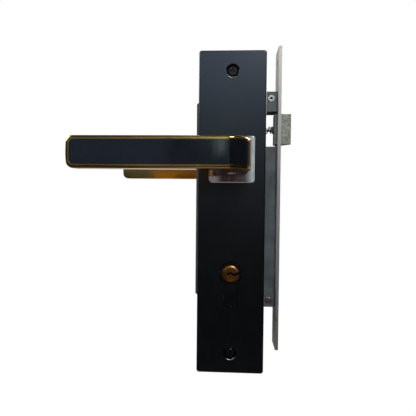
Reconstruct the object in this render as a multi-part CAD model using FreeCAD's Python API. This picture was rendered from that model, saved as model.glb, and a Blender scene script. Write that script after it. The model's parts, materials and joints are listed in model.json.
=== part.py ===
import FreeCAD, Part
import math
import os

V = FreeCAD.Vector

# A mortise lockset on a door edge: lock case, spring latch, deadbolt, euro cylinder,
# and a pair of long plates with lever handles. Sizes are in millimetres.
# The origin is the middle of the forend's two screws, on its outer face.
# X runs out of the door's edge, Y from the front plate to the rear plate, Z up.

# Layout in the door
door_thickness = 44.0
backset = 38.0
spindle_rise = 29.5
cylinder_centres = 85.0
latch_rise = 26.0
deadbolt_rise = 31.5

# Clearances
running_gap = 0.05
flat_gap = 0.1
slide_gap = 0.3
clear_gap = 0.4
overshoot = 1.0

# Handle plates
plate_width = 50.0
plate_height = 240.0
plate_depth = 7.0
plate_wall = 2.2
plate_corner = 2.0
plate_edge = 1.2
plate_drop = 40.0
plate_bolt_spacing = 210.0
plate_pad_side = 41.0
plate_pad_depth = 1.5
plate_boss_radius = 6.5
plate_rib_width = 1.5
plate_rib_depth = 4.0
plate_rib_places = (84.0, 72.0, 8.0, -12.0, -84.0)
profile_rim = 2.0
stop_pin_radius = 1.2
stop_pin_length = 3.0

# Roses and bushes
rose_side = 35.0
rose_corner = 2.5
rose_thickness = 2.0
rose_pocket = 1.2
rose_edge = 0.6
rose_hub_radius = 13.5
rose_hub_length = 2.8
bush_radius = 11.0
bush_flange_radius = 13.0
bush_flange = 0.6

# Levers
lever_reach = 106.7
lever_projection = 48.0
lever_height = 21.0
lever_thickness = 12.0
lever_tip_thickness = 10.0
lever_bend = 15.5
lever_inner_bend = 8.0
neck_outer = 12.5
neck_inner = 11.5
tip_corner = 4.7
tip_bulge = 0.6
tip_bulge_radius = 60.0
lever_edge = 1.6
collar_radius = 9.9
collar_length = 1.2
spigot_radius = 9.5
spigot_flat = 8.4
inlay_border = 2.7
inlay_thickness = 1.0
inlay_sink = 0.2
inlay_corner = 2.8
inlay_turn = 68.0
grub_radius = 2.5
grub_length = 5.6
grub_key = 2.5
grub_place = 13.0

# Springs and rings behind each rose
driver_thickness = 1.0
driver_radius = 12.5
driver_tab_reach = 17.5
driver_tab_width = 4.0
driver_tab_angle = 68.0
clip_thickness = 0.8
clip_radius = 11.6
clip_groove = 0.8
clip_mouth = 60.0
handle_spring_radius = 15.3
handle_spring_wire = 1.6
handle_spring_leg = 4.5

# Spindle and through bolts
spindle_side = 8.0
spindle_length = 100.0
bolt_radius = 2.5
bolt_length = 46.0
bolt_head_radius = 4.1
bolt_head_height = 2.4
bolt_head_sink = 0.8
bolt_head_edge = 1.1
cross_width = 0.9
cross_length = 4.6
cross_depth = 1.4
sleeve_radius = 4.0
sleeve_length = 20.0
sleeve_bore_depth = 17.0

# Lock case
case_thickness = 15.0
case_wall = 1.5
cover_thickness = 1.2
case_above = 55.0
case_below = 115.0
case_behind = 28.0
case_chamfer = 10.0
window_low = 12.0
window_high = 39.4
window_length = 20.0
rivet_front = 7.6
rivet_top_edge = 5.5
rivet_low_edge = 5.0
rivet_rear = 6.0
rivet_radius = 1.9
rivet_bore = 1.15
rivet_bore_depth = 5.0
rivet_head_radius = 2.8
rivet_head = 0.5

# Forend
forend_length = 238.0
forend_width = 22.0
forend_thickness = 2.5
forend_corner = 1.0
forend_screw_spacing = 216.0
forend_screw_radius = 2.6
forend_sink_radius = 4.8
forend_sink_depth = 1.2
forend_rivet_radius = 1.6
forend_rivet_head = 2.6
forend_rivet_places = (76.0, 4.0, -56.0)

# Latch
latch_height = 24.0
latch_thickness = 11.0
latch_projection = 8.5
latch_nose = 1.9
latch_shoulder = 1.1
latch_tail = 0.7
latch_boss_radius = 3.1
latch_boss_length = 1.3
latch_travel = 9.0
rod_radius = 1.4
rod_socket = 3.0
rod_end_radius = 3.3
rod_end_length = 1.5
hook_thickness = 3.0
hook_width = 8.0
hook_above_rod = 3.5
latch_guide_thickness = 1.5
latch_guide_half_height = 8.5
latch_spring_radius = 2.6
latch_spring_wire = 0.8
latch_spring_turns = 6
latch_spring_sides = 6

# Follower
handle_turn = 40.0
hub_radius = 10.0
journal_radius = 8.0
journal_proud = 0.4
nose_radius = 3.0
nose_arm_width = 4.4
lower_arm = 16.0
follower_spring_radius = 3.0
follower_spring_wall = 0.9
follower_stop_place = 12.0
follower_stop_half = 4.5

# Deadbolt
deadbolt_length = 30.0
deadbolt_height = 31.0
deadbolt_thickness = 10.0
deadbolt_throw = 20.0
deadbolt_round = 0.6
tail_thickness = 3.0
tail_reach = 58.0
tail_overlap = 6.0
tail_top_step = 4.0
tail_corner = 1.0
tail_shoulder = 2.0
tail_notch_width = 16.0
tail_notch_height = 4.0
tail_slot_rise = 3.5
tail_pin_radius = 1.5
tail_pin_spread = 8.0
post_radius = 2.0
post_place = 34.0

# Tumbler
tumbler_place = 60.0
tumbler_rise = 9.0
tumbler_reach = 21.0
tumbler_thickness = 3.0
tumbler_half_height = 2.2
tumbler_eye = 3.8
stud_width = 4.0
tumbler_spring_radius = 2.2
tumbler_spring_wall = 0.6
tumbler_spring_length = 7.0
tumbler_spring_place = 15.0
tab_thickness = 1.2
tab_half_width = 3.5

# Cylinder
cylinder_length = 60.0
profile_radius = 8.5
tongue_half_width = 5.0
tongue_depth = 24.5
plug_radius = 6.6
plug_edge = 1.2
cam_slot = 10.0
cam_width = 8.0
cam_ring_radius = 8.2
cam_reach = 15.3
cam_bit_width = 8.0
cam_rest_angle = 30.0
bridge_depth = 16.2
stub_radius = 4.9
stub_length = 2.5
keyway_length = 9.7
keyway_height = 1.6
keyway_wave = 0.9
keyway_bends = (3.0, 5.3)
keyway_depth = 22.0
plug_clip_radius = 7.4
plug_clip_thickness = 0.7
pin_radius = 1.4
pin_pitch = 4.0
pin_first = 4.0
pin_count = 5
pin_sides = 8
pin_nose = 0.7
driver_pin_length = 5.5
chamber_plug_length = 1.8
pin_spring_wall = 0.45
fixing_screw_radius = 2.5
fixing_screw_length = 40.0
fixing_screw_drop = 20.35
fixing_head_radius = 4.3
fixing_head_depth = 1.8
profile_clearance = 0.4

# Places that follow from the sizes above
spindle_x = -backset
spindle_z = spindle_rise
cylinder_z = spindle_z - cylinder_centres
latch_z = spindle_z + latch_rise
deadbolt_z = cylinder_z + deadbolt_rise
plate_z = spindle_z - plate_drop
door_y = door_thickness / 2
face_y = -door_y - plate_depth
pocket_y = face_y + rose_pocket
rose_y = pocket_y - rose_thickness
hub_end_y = pocket_y + rose_hub_length
flange_end_y = hub_end_y + bush_flange
driver_y = flange_end_y + flat_gap
clip_y = driver_y + driver_thickness + flat_gap
spigot_end_y = clip_y + clip_thickness + flat_gap
bar_y = face_y - lever_projection
tip_x = spindle_x - lever_reach
bend_x = spindle_x + neck_outer - lever_bend
neck_end_y = rose_y - flat_gap - collar_length
case_front_x = -forend_thickness
case_rear_x = spindle_x - case_behind
case_top_z = spindle_z + case_above
case_bottom_z = spindle_z - case_below
cover_y = -case_thickness / 2
cavity_front_y = cover_y + cover_thickness
cavity_rear_y = case_thickness / 2 - case_wall
latch_back_x = case_front_x - case_wall
latch_tail_x = latch_back_x - latch_tail
guide_x = latch_back_x - window_length - latch_guide_thickness
upper_arm = latch_travel / (2 * math.sin(math.radians(handle_turn / 2)))


def block(x0, x1, y0, y1, z0, z1):
    return Part.makeBox(x1 - x0, y1 - y0, z1 - z0, V(x0, y0, z0))


def rod_x(y, z, radius, x0, x1):
    return Part.makeCylinder(radius, x1 - x0, V(x0, y, z), V(1, 0, 0))


def rod_y(x, z, radius, y0, y1):
    return Part.makeCylinder(radius, y1 - y0, V(x, y0, z), V(0, 1, 0))


def rod_z(x, y, radius, z0, z1):
    return Part.makeCylinder(radius, z1 - z0, V(x, y, z0), V(0, 0, 1))


def tube_x(y, z, outer, inner, x0, x1):
    return rod_x(y, z, outer, x0, x1).cut(rod_x(y, z, inner, x0, x1))


def tube_y(x, z, outer, inner, y0, y1):
    return rod_y(x, z, outer, y0, y1).cut(rod_y(x, z, inner, y0, y1))


def tube_z(x, y, outer, inner, z0, z1):
    return rod_z(x, y, outer, z0, z1).cut(rod_z(x, y, inner, z0, z1))


def polygon(x, y, z, radius, sides):
    """A level outline of equal sides, with its corners on a circle."""
    corners = []
    for step in range(sides + 1):
        angle = 2 * math.pi * step / sides
        corners.append(V(x + radius * math.cos(angle), y + radius * math.sin(angle), z))
    return Part.Wire(Part.makePolygon(corners))


def pin_rod(y, radius, z0, z1):
    """An upright pin of the cylinder, with flat sides."""
    return Part.Face(polygon(spindle_x, y, z0, radius, pin_sides)).extrude(V(0, 0, z1 - z0))


def rounded_wire(corners):
    """Closed flat outline through corners (x, y, radius), each rounded by its radius."""
    count = len(corners)
    entries = []
    for index, (x, y, radius) in enumerate(corners):
        here = V(x, y, 0)
        before = V(corners[index - 1][0], corners[index - 1][1], 0) - here
        after = V(corners[(index + 1) % count][0], corners[(index + 1) % count][1], 0) - here
        before.normalize()
        after.normalize()
        half = before.getAngle(after) / 2
        reach = radius / math.tan(half)
        middle = (before + after).normalize()
        crown = here + middle * (radius / math.sin(half) - radius) if radius else here
        entries.append((here + before * reach, crown, here + after * reach, radius))
    edges = []
    for index, (start, crown, end, radius) in enumerate(entries):
        if radius:
            edges.append(Part.Arc(start, crown, end).toShape())
        following = entries[(index + 1) % count][0]
        if end.distanceToPoint(following) > 1e-6:
            edges.append(Part.LineSegment(end, following).toShape())
    return Part.Wire(edges)


def prism_y(wire, y0, y1):
    """A flat outline in x and z, pushed along Y."""
    face = Part.Face(wire)
    face.rotate(V(0, 0, 0), V(1, 0, 0), 90)
    face.translate(V(0, y0, 0))
    return face.extrude(V(0, y1 - y0, 0))


def prism_z(wire, z0, z1):
    """A flat outline in x and y, pushed along Z."""
    face = Part.Face(wire)
    face.translate(V(0, 0, z0))
    return face.extrude(V(0, 0, z1 - z0))


def rectangle(x0, x1, z0, z1, radius=0.0):
    return rounded_wire([(x0, z0, radius), (x1, z0, radius), (x1, z1, radius), (x0, z1, radius)])


def fuse_all(first, others):
    solid = first.fuse(others)
    return solid.removeSplitter()


def rear(shape):
    """The same piece of the rear handle set, mirrored through the lock's middle plane."""
    return shape.mirror(V(0, 0, 0), V(0, 1, 0))


def turned(shape, angle, x=spindle_x, z=spindle_z):
    """A copy turned about an axis along Y, counter-clockwise as seen from the front."""
    copy = shape.copy()
    copy.rotate(V(x, 0, z), V(0, -1, 0), angle)
    return copy


def profile_prism(grow, y0, y1):
    """The euro cylinder's outline, grown all round."""
    low = cylinder_z - tongue_depth + tongue_half_width
    head = rod_y(spindle_x, cylinder_z, profile_radius + grow, y0, y1)
    side = tongue_half_width + grow
    tongue = block(spindle_x - side, spindle_x + side, y0, y1, low, cylinder_z)
    foot = rod_y(spindle_x, low, side, y0, y1)
    return fuse_all(head, [tongue, foot])


def flat_edges(shape, y):
    """The edges that lie in the plane at y."""
    found = []
    for edge in shape.Edges:
        box = edge.BoundBox
        if abs(box.YMin - y) < 1e-4 and abs(box.YMax - y) < 1e-4:
            found.append(edge)
    return found


def level_edges(shape, z):
    """The edges that lie in the level plane at z."""
    found = []
    for edge in shape.Edges:
        box = edge.BoundBox
        if abs(box.ZMin - z) < 1e-4 and abs(box.ZMax - z) < 1e-4:
            found.append(edge)
    return found


def cross_recess(x, z, y0, depth):
    """A cross slot for a screwdriver, cut along Y."""
    long_half = cross_length / 2
    short_half = cross_width / 2
    upright = block(x - short_half, x + short_half, y0, y0 + depth, z - long_half, z + long_half)
    level = block(x - long_half, x + long_half, y0, y0 + depth, z - short_half, z + short_half)
    return upright.fuse(level)


def bolt_places():
    half = plate_bolt_spacing / 2
    return (plate_z + half, plate_z - half)


def plate_blank():
    """A long hollow plate with its pocket, profile hole, bosses and ribs, bolt holes not yet cut."""
    x0 = spindle_x - plate_width / 2
    x1 = spindle_x + plate_width / 2
    z0 = plate_z - plate_height / 2
    z1 = plate_z + plate_height / 2
    outer = prism_y(rectangle(x0, x1, z0, z1, plate_corner), face_y, -door_y)
    outer = outer.makeFillet(plate_edge, flat_edges(outer, face_y))
    wall = plate_wall
    inner_y = face_y + wall
    hollow = block(x0 + wall, x1 - wall, inner_y, -door_y, z0 + wall, z1 - wall)
    plate = outer.cut(hollow)
    pad_half = plate_pad_side / 2
    pad_y = inner_y + plate_pad_depth
    added = [block(spindle_x - pad_half, spindle_x + pad_half, inner_y, pad_y,
                   spindle_z - pad_half, spindle_z + pad_half)]
    added.append(profile_prism(profile_clearance + profile_rim, inner_y, -door_y))
    for z in bolt_places():
        added.append(rod_y(spindle_x, z, plate_boss_radius, inner_y, -door_y))
    for place in plate_rib_places:
        z = plate_z + place
        added.append(block(x0 + wall, x1 - wall, inner_y, inner_y + plate_rib_depth,
                           z - plate_rib_width / 2, z + plate_rib_width / 2))
    pin = rod_y(spindle_x + stop_pin_distance(), spindle_z, stop_pin_radius, pad_y, pad_y + stop_pin_length)
    added.append(turned(pin, stop_pin_angle()))
    plate = fuse_all(plate, added)
    rose_half = rose_side / 2 + flat_gap
    pocket = prism_y(rectangle(spindle_x - rose_half, spindle_x + rose_half, spindle_z - rose_half,
                               spindle_z + rose_half, rose_corner + flat_gap), face_y, pocket_y)
    hub_hole = rod_y(spindle_x, spindle_z, rose_hub_radius + running_gap, pocket_y, -door_y)
    profile_hole = profile_prism(profile_clearance, face_y, -door_y)
    return plate.cut([pocket, hub_hole, profile_hole])


def stop_pin_distance():
    return handle_spring_radius + handle_spring_leg - stop_pin_radius


def handle_spring_gap():
    """The angle between the spring's two legs, which hold the driver's tab."""
    across = driver_tab_width / 2 + slide_gap
    return 2 * math.degrees(math.asin(across / (handle_spring_radius - handle_spring_wire / 2)))


def stop_pin_angle():
    """The pin stands just clockwise of the spring's fixed leg."""
    leg_angle = driver_tab_angle - handle_spring_gap() / 2
    across = handle_spring_wire + stop_pin_radius + slide_gap
    return leg_angle - math.degrees(across / stop_pin_distance())


def front_plate():
    plate = plate_blank()
    seat_y = face_y + bolt_head_sink + bolt_head_height
    cuts = []
    for z in bolt_places():
        cuts.append(rod_y(spindle_x, z, bolt_head_radius + clear_gap, face_y, seat_y))
        cuts.append(rod_y(spindle_x, z, bolt_radius + running_gap, seat_y, -door_y))
    return plate.cut(cuts)


def rear_plate():
    plate = plate_blank()
    cuts = []
    for z in bolt_places():
        cuts.append(rod_y(spindle_x, z, sleeve_radius + running_gap, face_y + plate_wall, -door_y))
    return rear(plate.cut(cuts))


def rose():
    half = rose_side / 2
    flange = prism_y(rectangle(spindle_x - half, spindle_x + half, spindle_z - half, spindle_z + half,
                               rose_corner), rose_y, pocket_y)
    flange = flange.makeChamfer(rose_edge, flat_edges(flange, rose_y))
    hub = rod_y(spindle_x, spindle_z, rose_hub_radius, pocket_y, hub_end_y)
    bore = rod_y(spindle_x, spindle_z, bush_radius + running_gap, rose_y, hub_end_y)
    return fuse_all(flange, [hub]).cut(bore)


def bush():
    barrel = rod_y(spindle_x, spindle_z, bush_radius, rose_y, hub_end_y)
    flange = rod_y(spindle_x, spindle_z, bush_flange_radius, hub_end_y, flange_end_y)
    bore = rod_y(spindle_x, spindle_z, spigot_radius + running_gap, rose_y, flange_end_y)
    return fuse_all(barrel, [flange]).cut(bore)


def lever_outline():
    """The lever from above: bar, bend and neck."""
    neck_x = spindle_x + neck_outer
    inner_x = spindle_x - neck_inner
    inner_y = bar_y + lever_thickness
    return rounded_wire([(tip_x, bar_y, 0), (neck_x, bar_y, lever_bend), (neck_x, neck_end_y, 0),
                         (inner_x, neck_end_y, 0), (inner_x, inner_y, lever_inner_bend),
                         (tip_x, bar_y + lever_tip_thickness, 0)])


def tip_outline(inset, corner, gap):
    """The lever from the front, with its rounded and slightly bulging tip."""
    left = tip_x + inset - gap
    half = lever_height / 2 - inset + gap
    right = spindle_x + neck_outer + overshoot
    return rounded_wire([(left + tip_bulge, spindle_z - half, corner), (right, spindle_z - half, 0),
                         (right, spindle_z + half, 0), (left + tip_bulge, spindle_z + half, corner),
                         (left, spindle_z, tip_bulge_radius)])


def skin_band(outside, inside):
    """A band that follows the lever's outer face round the bend, between two depths."""
    def ring_point(radius, degrees):
        angle = math.radians(degrees - 90)
        return V(bend_x + radius * math.cos(angle), bar_y + lever_bend + radius * math.sin(angle), 0)
    start = V(tip_x - overshoot, bar_y + outside, 0)
    back = V(tip_x - overshoot, bar_y + inside, 0)
    outer = lever_bend - outside
    inner = lever_bend - inside
    edges = [
        Part.LineSegment(start, ring_point(outer, 0)).toShape(),
        Part.Arc(ring_point(outer, 0), ring_point(outer, inlay_turn / 2),
                 ring_point(outer, inlay_turn)).toShape(),
        Part.LineSegment(ring_point(outer, inlay_turn), ring_point(inner, inlay_turn)).toShape(),
        Part.Arc(ring_point(inner, inlay_turn), ring_point(inner, inlay_turn / 2),
                 ring_point(inner, 0)).toShape(),
        Part.LineSegment(ring_point(inner, 0), back).toShape(),
        Part.LineSegment(back, start).toShape(),
    ]
    low = spindle_z - lever_height
    return prism_z(Part.Wire(edges), low, low + 2 * lever_height)


def lever_body():
    low = spindle_z - lever_height / 2
    body = prism_z(lever_outline(), low, low + lever_height)
    return body.common(prism_y(tip_outline(0, tip_corner, 0), bar_y - overshoot, neck_end_y + overshoot))


def rim_edges(body):
    """The edges all round the lever's outer face."""
    found = []
    for edge in body.Edges:
        on_face = True
        for share in (0.0, 0.3, 0.7, 1.0):
            point = edge.valueAt(edge.FirstParameter + share * (edge.LastParameter - edge.FirstParameter))
            on_bar = abs(point.y - bar_y) < 0.01
            across = math.hypot(point.x - bend_x, point.y - bar_y - lever_bend)
            on_bend = abs(across - lever_bend) < 0.01 and point.x > bend_x - 0.01
            on_neck = abs(point.x - spindle_x - neck_outer) < 0.01
            on_face = on_face and (on_bar or on_bend or on_neck)
        level = abs(edge.BoundBox.ZMax - edge.BoundBox.ZMin) < 0.01
        at_tip = edge.BoundBox.XMax < tip_x + tip_corner + tip_bulge + 0.1
        if on_face and (level or at_tip):
            found.append(edge)
    return found


def lever():
    body = lever_body()
    body = body.makeFillet(lever_edge, rim_edges(body))
    recess = skin_band(-overshoot, inlay_sink + inlay_thickness)
    border = tip_outline(inlay_border, inlay_corner, flat_gap)
    recess = recess.common(prism_y(border, bar_y - overshoot, -door_y))
    collar = rod_y(spindle_x, spindle_z, collar_radius, neck_end_y, rose_y - flat_gap)
    spigot = rod_y(spindle_x, spindle_z, spigot_radius, rose_y - flat_gap, spigot_end_y)
    body = fuse_all(body, [collar, spigot])
    groove = tube_y(spindle_x, spindle_z, spigot_radius + overshoot, spigot_radius - clip_groove,
                    clip_y - running_gap, clip_y + clip_thickness + running_gap)
    flats = []
    for side in (-1, 1):
        middle = spindle_z + side * (spigot_flat + spigot_radius / 2)
        flats.append(block(spindle_x - spigot_radius, spindle_x + spigot_radius, driver_y - flat_gap,
                           spigot_end_y, middle - spigot_radius / 2, middle + spigot_radius / 2))
    half = spindle_side / 2 + flat_gap
    socket_y = -spindle_length / 2 - clear_gap
    socket = block(spindle_x - half, spindle_x + half, socket_y, spigot_end_y,
                   spindle_z - half, spindle_z + half)
    grub_hole = rod_z(spindle_x, face_y - grub_place, grub_radius + running_gap,
                      spindle_z - lever_height, spindle_z)
    return body.cut([recess, groove, socket, grub_hole] + flats)


def lever_inlay():
    strip = skin_band(inlay_sink, inlay_sink + inlay_thickness)
    return strip.common(prism_y(tip_outline(inlay_border, inlay_corner, 0), bar_y - overshoot, -door_y))


def grub_screw():
    top = spindle_z - spindle_side / 2 - running_gap
    screw = rod_z(spindle_x, face_y - grub_place, grub_radius, top - grub_length, top)
    hexagon = polygon(spindle_x, face_y - grub_place, top - grub_length, grub_key / math.sqrt(3), 6)
    return screw.cut(Part.Face(hexagon).extrude(V(0, 0, grub_length / 2)))


def spring_driver():
    disc = rod_y(spindle_x, spindle_z, driver_radius, driver_y, driver_y + driver_thickness)
    half = driver_tab_width / 2
    tab = block(spindle_x + spigot_radius, spindle_x + driver_tab_reach, driver_y,
                driver_y + driver_thickness, spindle_z - half, spindle_z + half)
    tab = turned(tab, driver_tab_angle)
    keyed = spigot_flat + running_gap
    hole = rod_y(spindle_x, spindle_z, spigot_radius + running_gap, driver_y, driver_y + driver_thickness)
    hole = hole.common(block(spindle_x - driver_radius, spindle_x + driver_radius, driver_y,
                             driver_y + driver_thickness, spindle_z - keyed, spindle_z + keyed))
    return fuse_all(disc, [tab]).cut(hole)


def circlip():
    inner = spigot_radius - clip_groove + running_gap
    ring = tube_y(spindle_x, spindle_z, clip_radius, inner, clip_y, clip_y + clip_thickness)
    width = inner * math.sin(math.radians(clip_mouth / 2))
    mouth = block(spindle_x - width, spindle_x + width, clip_y, clip_y + clip_thickness,
                  spindle_z - 2 * clip_radius, spindle_z)
    return ring.cut(mouth)


def handle_spring():
    """A torsion spring of one open turn of square wire, with a leg on each side of the driver's tab."""
    half = handle_spring_wire / 2
    near_y = pad_surface() + slide_gap
    inner_x = spindle_x + handle_spring_radius - half
    outer_x = spindle_x + handle_spring_radius + half
    corners = [V(inner_x, near_y, spindle_z), V(outer_x, near_y, spindle_z),
               V(outer_x, near_y + handle_spring_wire, spindle_z),
               V(inner_x, near_y + handle_spring_wire, spindle_z), V(inner_x, near_y, spindle_z)]
    face = Part.Face(Part.Wire(Part.makePolygon(corners)))
    ring = face.revolve(V(spindle_x, near_y, spindle_z), V(0, -1, 0), 360 - handle_spring_gap())
    ring = turned(ring, driver_tab_angle + handle_spring_gap() / 2)
    legs = []
    for side in (-1, 1):
        low = spindle_z if side > 0 else spindle_z - handle_spring_wire
        leg = block(inner_x, outer_x + handle_spring_leg, near_y, near_y + handle_spring_wire,
                    low, low + handle_spring_wire)
        legs.append(turned(leg, driver_tab_angle + side * handle_spring_gap() / 2))
    return fuse_all(ring, legs)


def pad_surface():
    return face_y + plate_wall + plate_pad_depth


def spindle():
    half = spindle_side / 2
    reach = spindle_length / 2
    return block(spindle_x - half, spindle_x + half, -reach, reach, spindle_z - half, spindle_z + half)


def plate_bolts():
    bolts = []
    head_y = face_y + bolt_head_sink
    seat_y = head_y + bolt_head_height
    for z in bolt_places():
        head = rod_y(spindle_x, z, bolt_head_radius, head_y, seat_y)
        head = head.makeChamfer(bolt_head_edge, flat_edges(head, head_y))
        head = head.cut(cross_recess(spindle_x, z, head_y, cross_depth))
        shank = rod_y(spindle_x, z, bolt_radius, seat_y, seat_y + bolt_length)
        bolts.append(head.fuse(shank))
    return Part.makeCompound(bolts)


def bolt_sleeves():
    sleeves = []
    end_y = -face_y - plate_wall - running_gap
    for z in bolt_places():
        sleeve = rod_y(spindle_x, z, sleeve_radius, end_y - sleeve_length, end_y)
        bore = rod_y(spindle_x, z, bolt_radius + running_gap, end_y - sleeve_length,
                     end_y - sleeve_length + sleeve_bore_depth)
        sleeves.append(sleeve.cut(bore))
    return Part.makeCompound(sleeves)


def case_outline(inset):
    """The case from the front, with chamfered rear corners."""
    front = case_front_x - inset
    back = case_rear_x + inset
    top = case_top_z - inset
    bottom = case_bottom_z + inset
    slope = case_chamfer - inset * (2 - math.sqrt(2))
    return rounded_wire([(front, bottom, 0), (front, top, 0), (back + slope, top, 0),
                         (back, top - slope, 0), (back, bottom + slope, 0), (back + slope, bottom, 0)])


def rivet_places():
    front = -rivet_front
    back = case_rear_x + rivet_rear + case_chamfer / 2
    high = case_top_z - rivet_top_edge
    low = case_bottom_z + rivet_low_edge
    return ((front, high), (front, low), (back, high), (back, low))


def case_openings():
    """What is cut through both sides of the case."""
    y0 = cover_y - overshoot
    y1 = -y0
    cuts = [rod_y(spindle_x, spindle_z, journal_radius + running_gap, y0, y1)]
    cuts.append(profile_prism(profile_clearance, y0, y1))
    cuts.append(block(guide_x + latch_guide_thickness, case_front_x, y0, y1,
                      spindle_z + window_low, spindle_z + window_high))
    for x, z in rivet_places():
        cuts.append(rod_y(x, z, rivet_radius + running_gap, y0, y1))
    return cuts


def bolt_mouths(x0, x1):
    """The holes that the latch, the deadbolt and the cylinder's screw pass through."""
    half_y = latch_thickness / 2 + slide_gap
    half_z = latch_height / 2 + slide_gap
    latch_hole = block(x0, x1, -half_y, half_y, latch_z - half_z, latch_z + half_z)
    half_y = deadbolt_thickness / 2 + slide_gap
    half_z = deadbolt_height / 2 + slide_gap
    deadbolt_hole = block(x0, x1, -half_y, half_y, deadbolt_z - half_z, deadbolt_z + half_z)
    screw_hole = rod_x(0, cylinder_z - fixing_screw_drop, fixing_screw_radius + running_gap, x0, x1)
    return [latch_hole, deadbolt_hole, screw_hole]


def case_posts():
    """The guide post of the deadbolt, the tumbler's pivot and the two spring tabs."""
    y0 = cavity_front_y
    y1 = cavity_rear_y
    guide_post = rod_y(-post_place, slot_z(), post_radius, y0, y1)
    pivot = rod_y(-tumbler_place, tumbler_z(), post_radius, y0, y1)
    stop = block(-follower_stop_place, -follower_stop_place + case_wall, -follower_stop_half, y1,
                 follower_spring_z() - follower_stop_half, follower_spring_z() + follower_stop_half)
    seat_x = tumbler_spring_x()
    seat_z = tumbler_top_z() + tumbler_spring_length
    seat = block(seat_x - tab_half_width, seat_x + tab_half_width, -tab_half_width, y1,
                 seat_z, seat_z + tab_thickness)
    return [guide_post, pivot, stop, seat]


def lock_case():
    y1 = case_thickness / 2
    shell = prism_y(case_outline(0), cavity_front_y, y1)
    cavity = prism_y(case_outline(case_wall), cavity_front_y, cavity_rear_y)
    shell = fuse_all(shell.cut(cavity), case_posts())
    cuts = case_openings() + bolt_mouths(latch_back_x - flat_gap, case_front_x)
    for z in forend_rivet_places:
        cuts.append(rod_x(0, z, forend_rivet_radius + running_gap, latch_back_x, case_front_x))
    return shell.cut(cuts)


def case_cover():
    sheet = prism_y(case_outline(0), cover_y, cavity_front_y)
    return sheet.cut(case_openings())


def case_rivets():
    """Rivets with a hollow front end."""
    rivets = []
    outside = case_thickness / 2
    for x, z in rivet_places():
        shank = rod_y(x, z, rivet_radius, -outside, outside)
        near = rod_y(x, z, rivet_head_radius, -outside - rivet_head, -outside)
        far = rod_y(x, z, rivet_head_radius, outside, outside + rivet_head)
        near = near.makeChamfer(rivet_head / 2, flat_edges(near, -outside - rivet_head))
        bore = rod_y(x, z, rivet_bore, -outside - rivet_head, -outside - rivet_head + rivet_bore_depth)
        rivets.append(fuse_all(shank, [near, far]).cut(bore))
    return Part.makeCompound(rivets)


def sunk_hole(z, radius, sink_radius, sink_depth, thickness):
    """A countersunk hole through the forend."""
    hole = rod_x(0, z, radius, -thickness, 0)
    sink = Part.makeCone(radius, sink_radius, sink_depth, V(-sink_depth, 0, z), V(1, 0, 0))
    return hole.fuse(sink)


def forend():
    half_y = forend_width / 2
    half_z = forend_length / 2
    corner = forend_corner
    outline = rounded_wire([(-half_y, -half_z, corner), (half_y, -half_z, corner),
                            (half_y, half_z, corner), (-half_y, half_z, corner)])
    face = Part.Face(outline)
    face.rotate(V(0, 0, 0), V(1, 1, 1), 120)
    bar = face.extrude(V(-forend_thickness, 0, 0))
    cuts = bolt_mouths(-forend_thickness, 0)
    for side in (-1, 1):
        cuts.append(sunk_hole(side * forend_screw_spacing / 2, forend_screw_radius, forend_sink_radius,
                              forend_sink_depth, forend_thickness))
    cuts.append(sunk_hole(cylinder_z - fixing_screw_drop, fixing_screw_radius + running_gap,
                          fixing_head_radius + running_gap, fixing_head_depth, forend_thickness))
    for z in forend_rivet_places:
        cuts.append(sunk_hole(z, forend_rivet_radius + running_gap, forend_rivet_head + running_gap,
                              forend_sink_depth, forend_thickness))
    return bar.cut(cuts)


def forend_rivets():
    rivets = []
    for z in forend_rivet_places:
        shank = rod_x(0, z, forend_rivet_radius, latch_back_x, 0)
        head = Part.makeCone(forend_rivet_radius, forend_rivet_head, forend_sink_depth,
                             V(-forend_sink_depth, 0, z), V(1, 0, 0))
        tail = rod_x(0, z, forend_rivet_head, latch_back_x - rivet_head, latch_back_x)
        rivets.append(fuse_all(shank, [head, tail]))
    return Part.makeCompound(rivets)


def latch_head():
    """A spring latch with its slope on the rear side."""
    half = latch_thickness / 2
    tip = latch_projection
    outline = rounded_wire([(latch_tail_x, -half, 0), (tip, -half, latch_shoulder),
                            (tip, -half + latch_nose, latch_shoulder), (latch_shoulder, half, latch_shoulder),
                            (latch_tail_x, half, 0)])
    block_z = latch_z - latch_height / 2
    head = prism_z(outline, block_z, block_z + latch_height)
    boss = rod_x(0, latch_z, latch_boss_radius, latch_boss_x(), latch_tail_x)
    socket = rod_x(0, latch_z, rod_radius + running_gap, latch_boss_x(), latch_back_x + rod_socket + flat_gap)
    return fuse_all(head, [boss]).cut(socket)


def latch_boss_x():
    return latch_tail_x - latch_boss_length


def hook_face_x():
    """The hook's right face, just behind the follower's upper nose at rest."""
    nose_x = spindle_x + upper_arm * math.sin(math.radians(handle_turn / 2))
    return nose_x - nose_radius - clear_gap


def latch_rod():
    end = hook_face_x() - hook_thickness
    shaft = rod_x(0, latch_z, rod_radius, end, latch_back_x + rod_socket)
    button = rod_x(0, latch_z, rod_end_radius, end - rod_end_length, end)
    return fuse_all(shaft, [button])


def latch_hook():
    right = hook_face_x()
    half = hook_width / 2
    low = spindle_z + upper_arm - nose_radius / 2
    plate = block(right - hook_thickness, right, -half, half, low, latch_z + hook_above_rod)
    return plate.cut(rod_x(0, latch_z, rod_radius + running_gap, right - hook_thickness, right))


def latch_guide():
    half = latch_guide_half_height
    plate = block(guide_x, guide_x + latch_guide_thickness, cavity_front_y, cavity_rear_y,
                  latch_z - half, latch_z + half)
    return plate.cut(rod_x(0, latch_z, rod_radius + running_gap, guide_x, guide_x + latch_guide_thickness))


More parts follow.
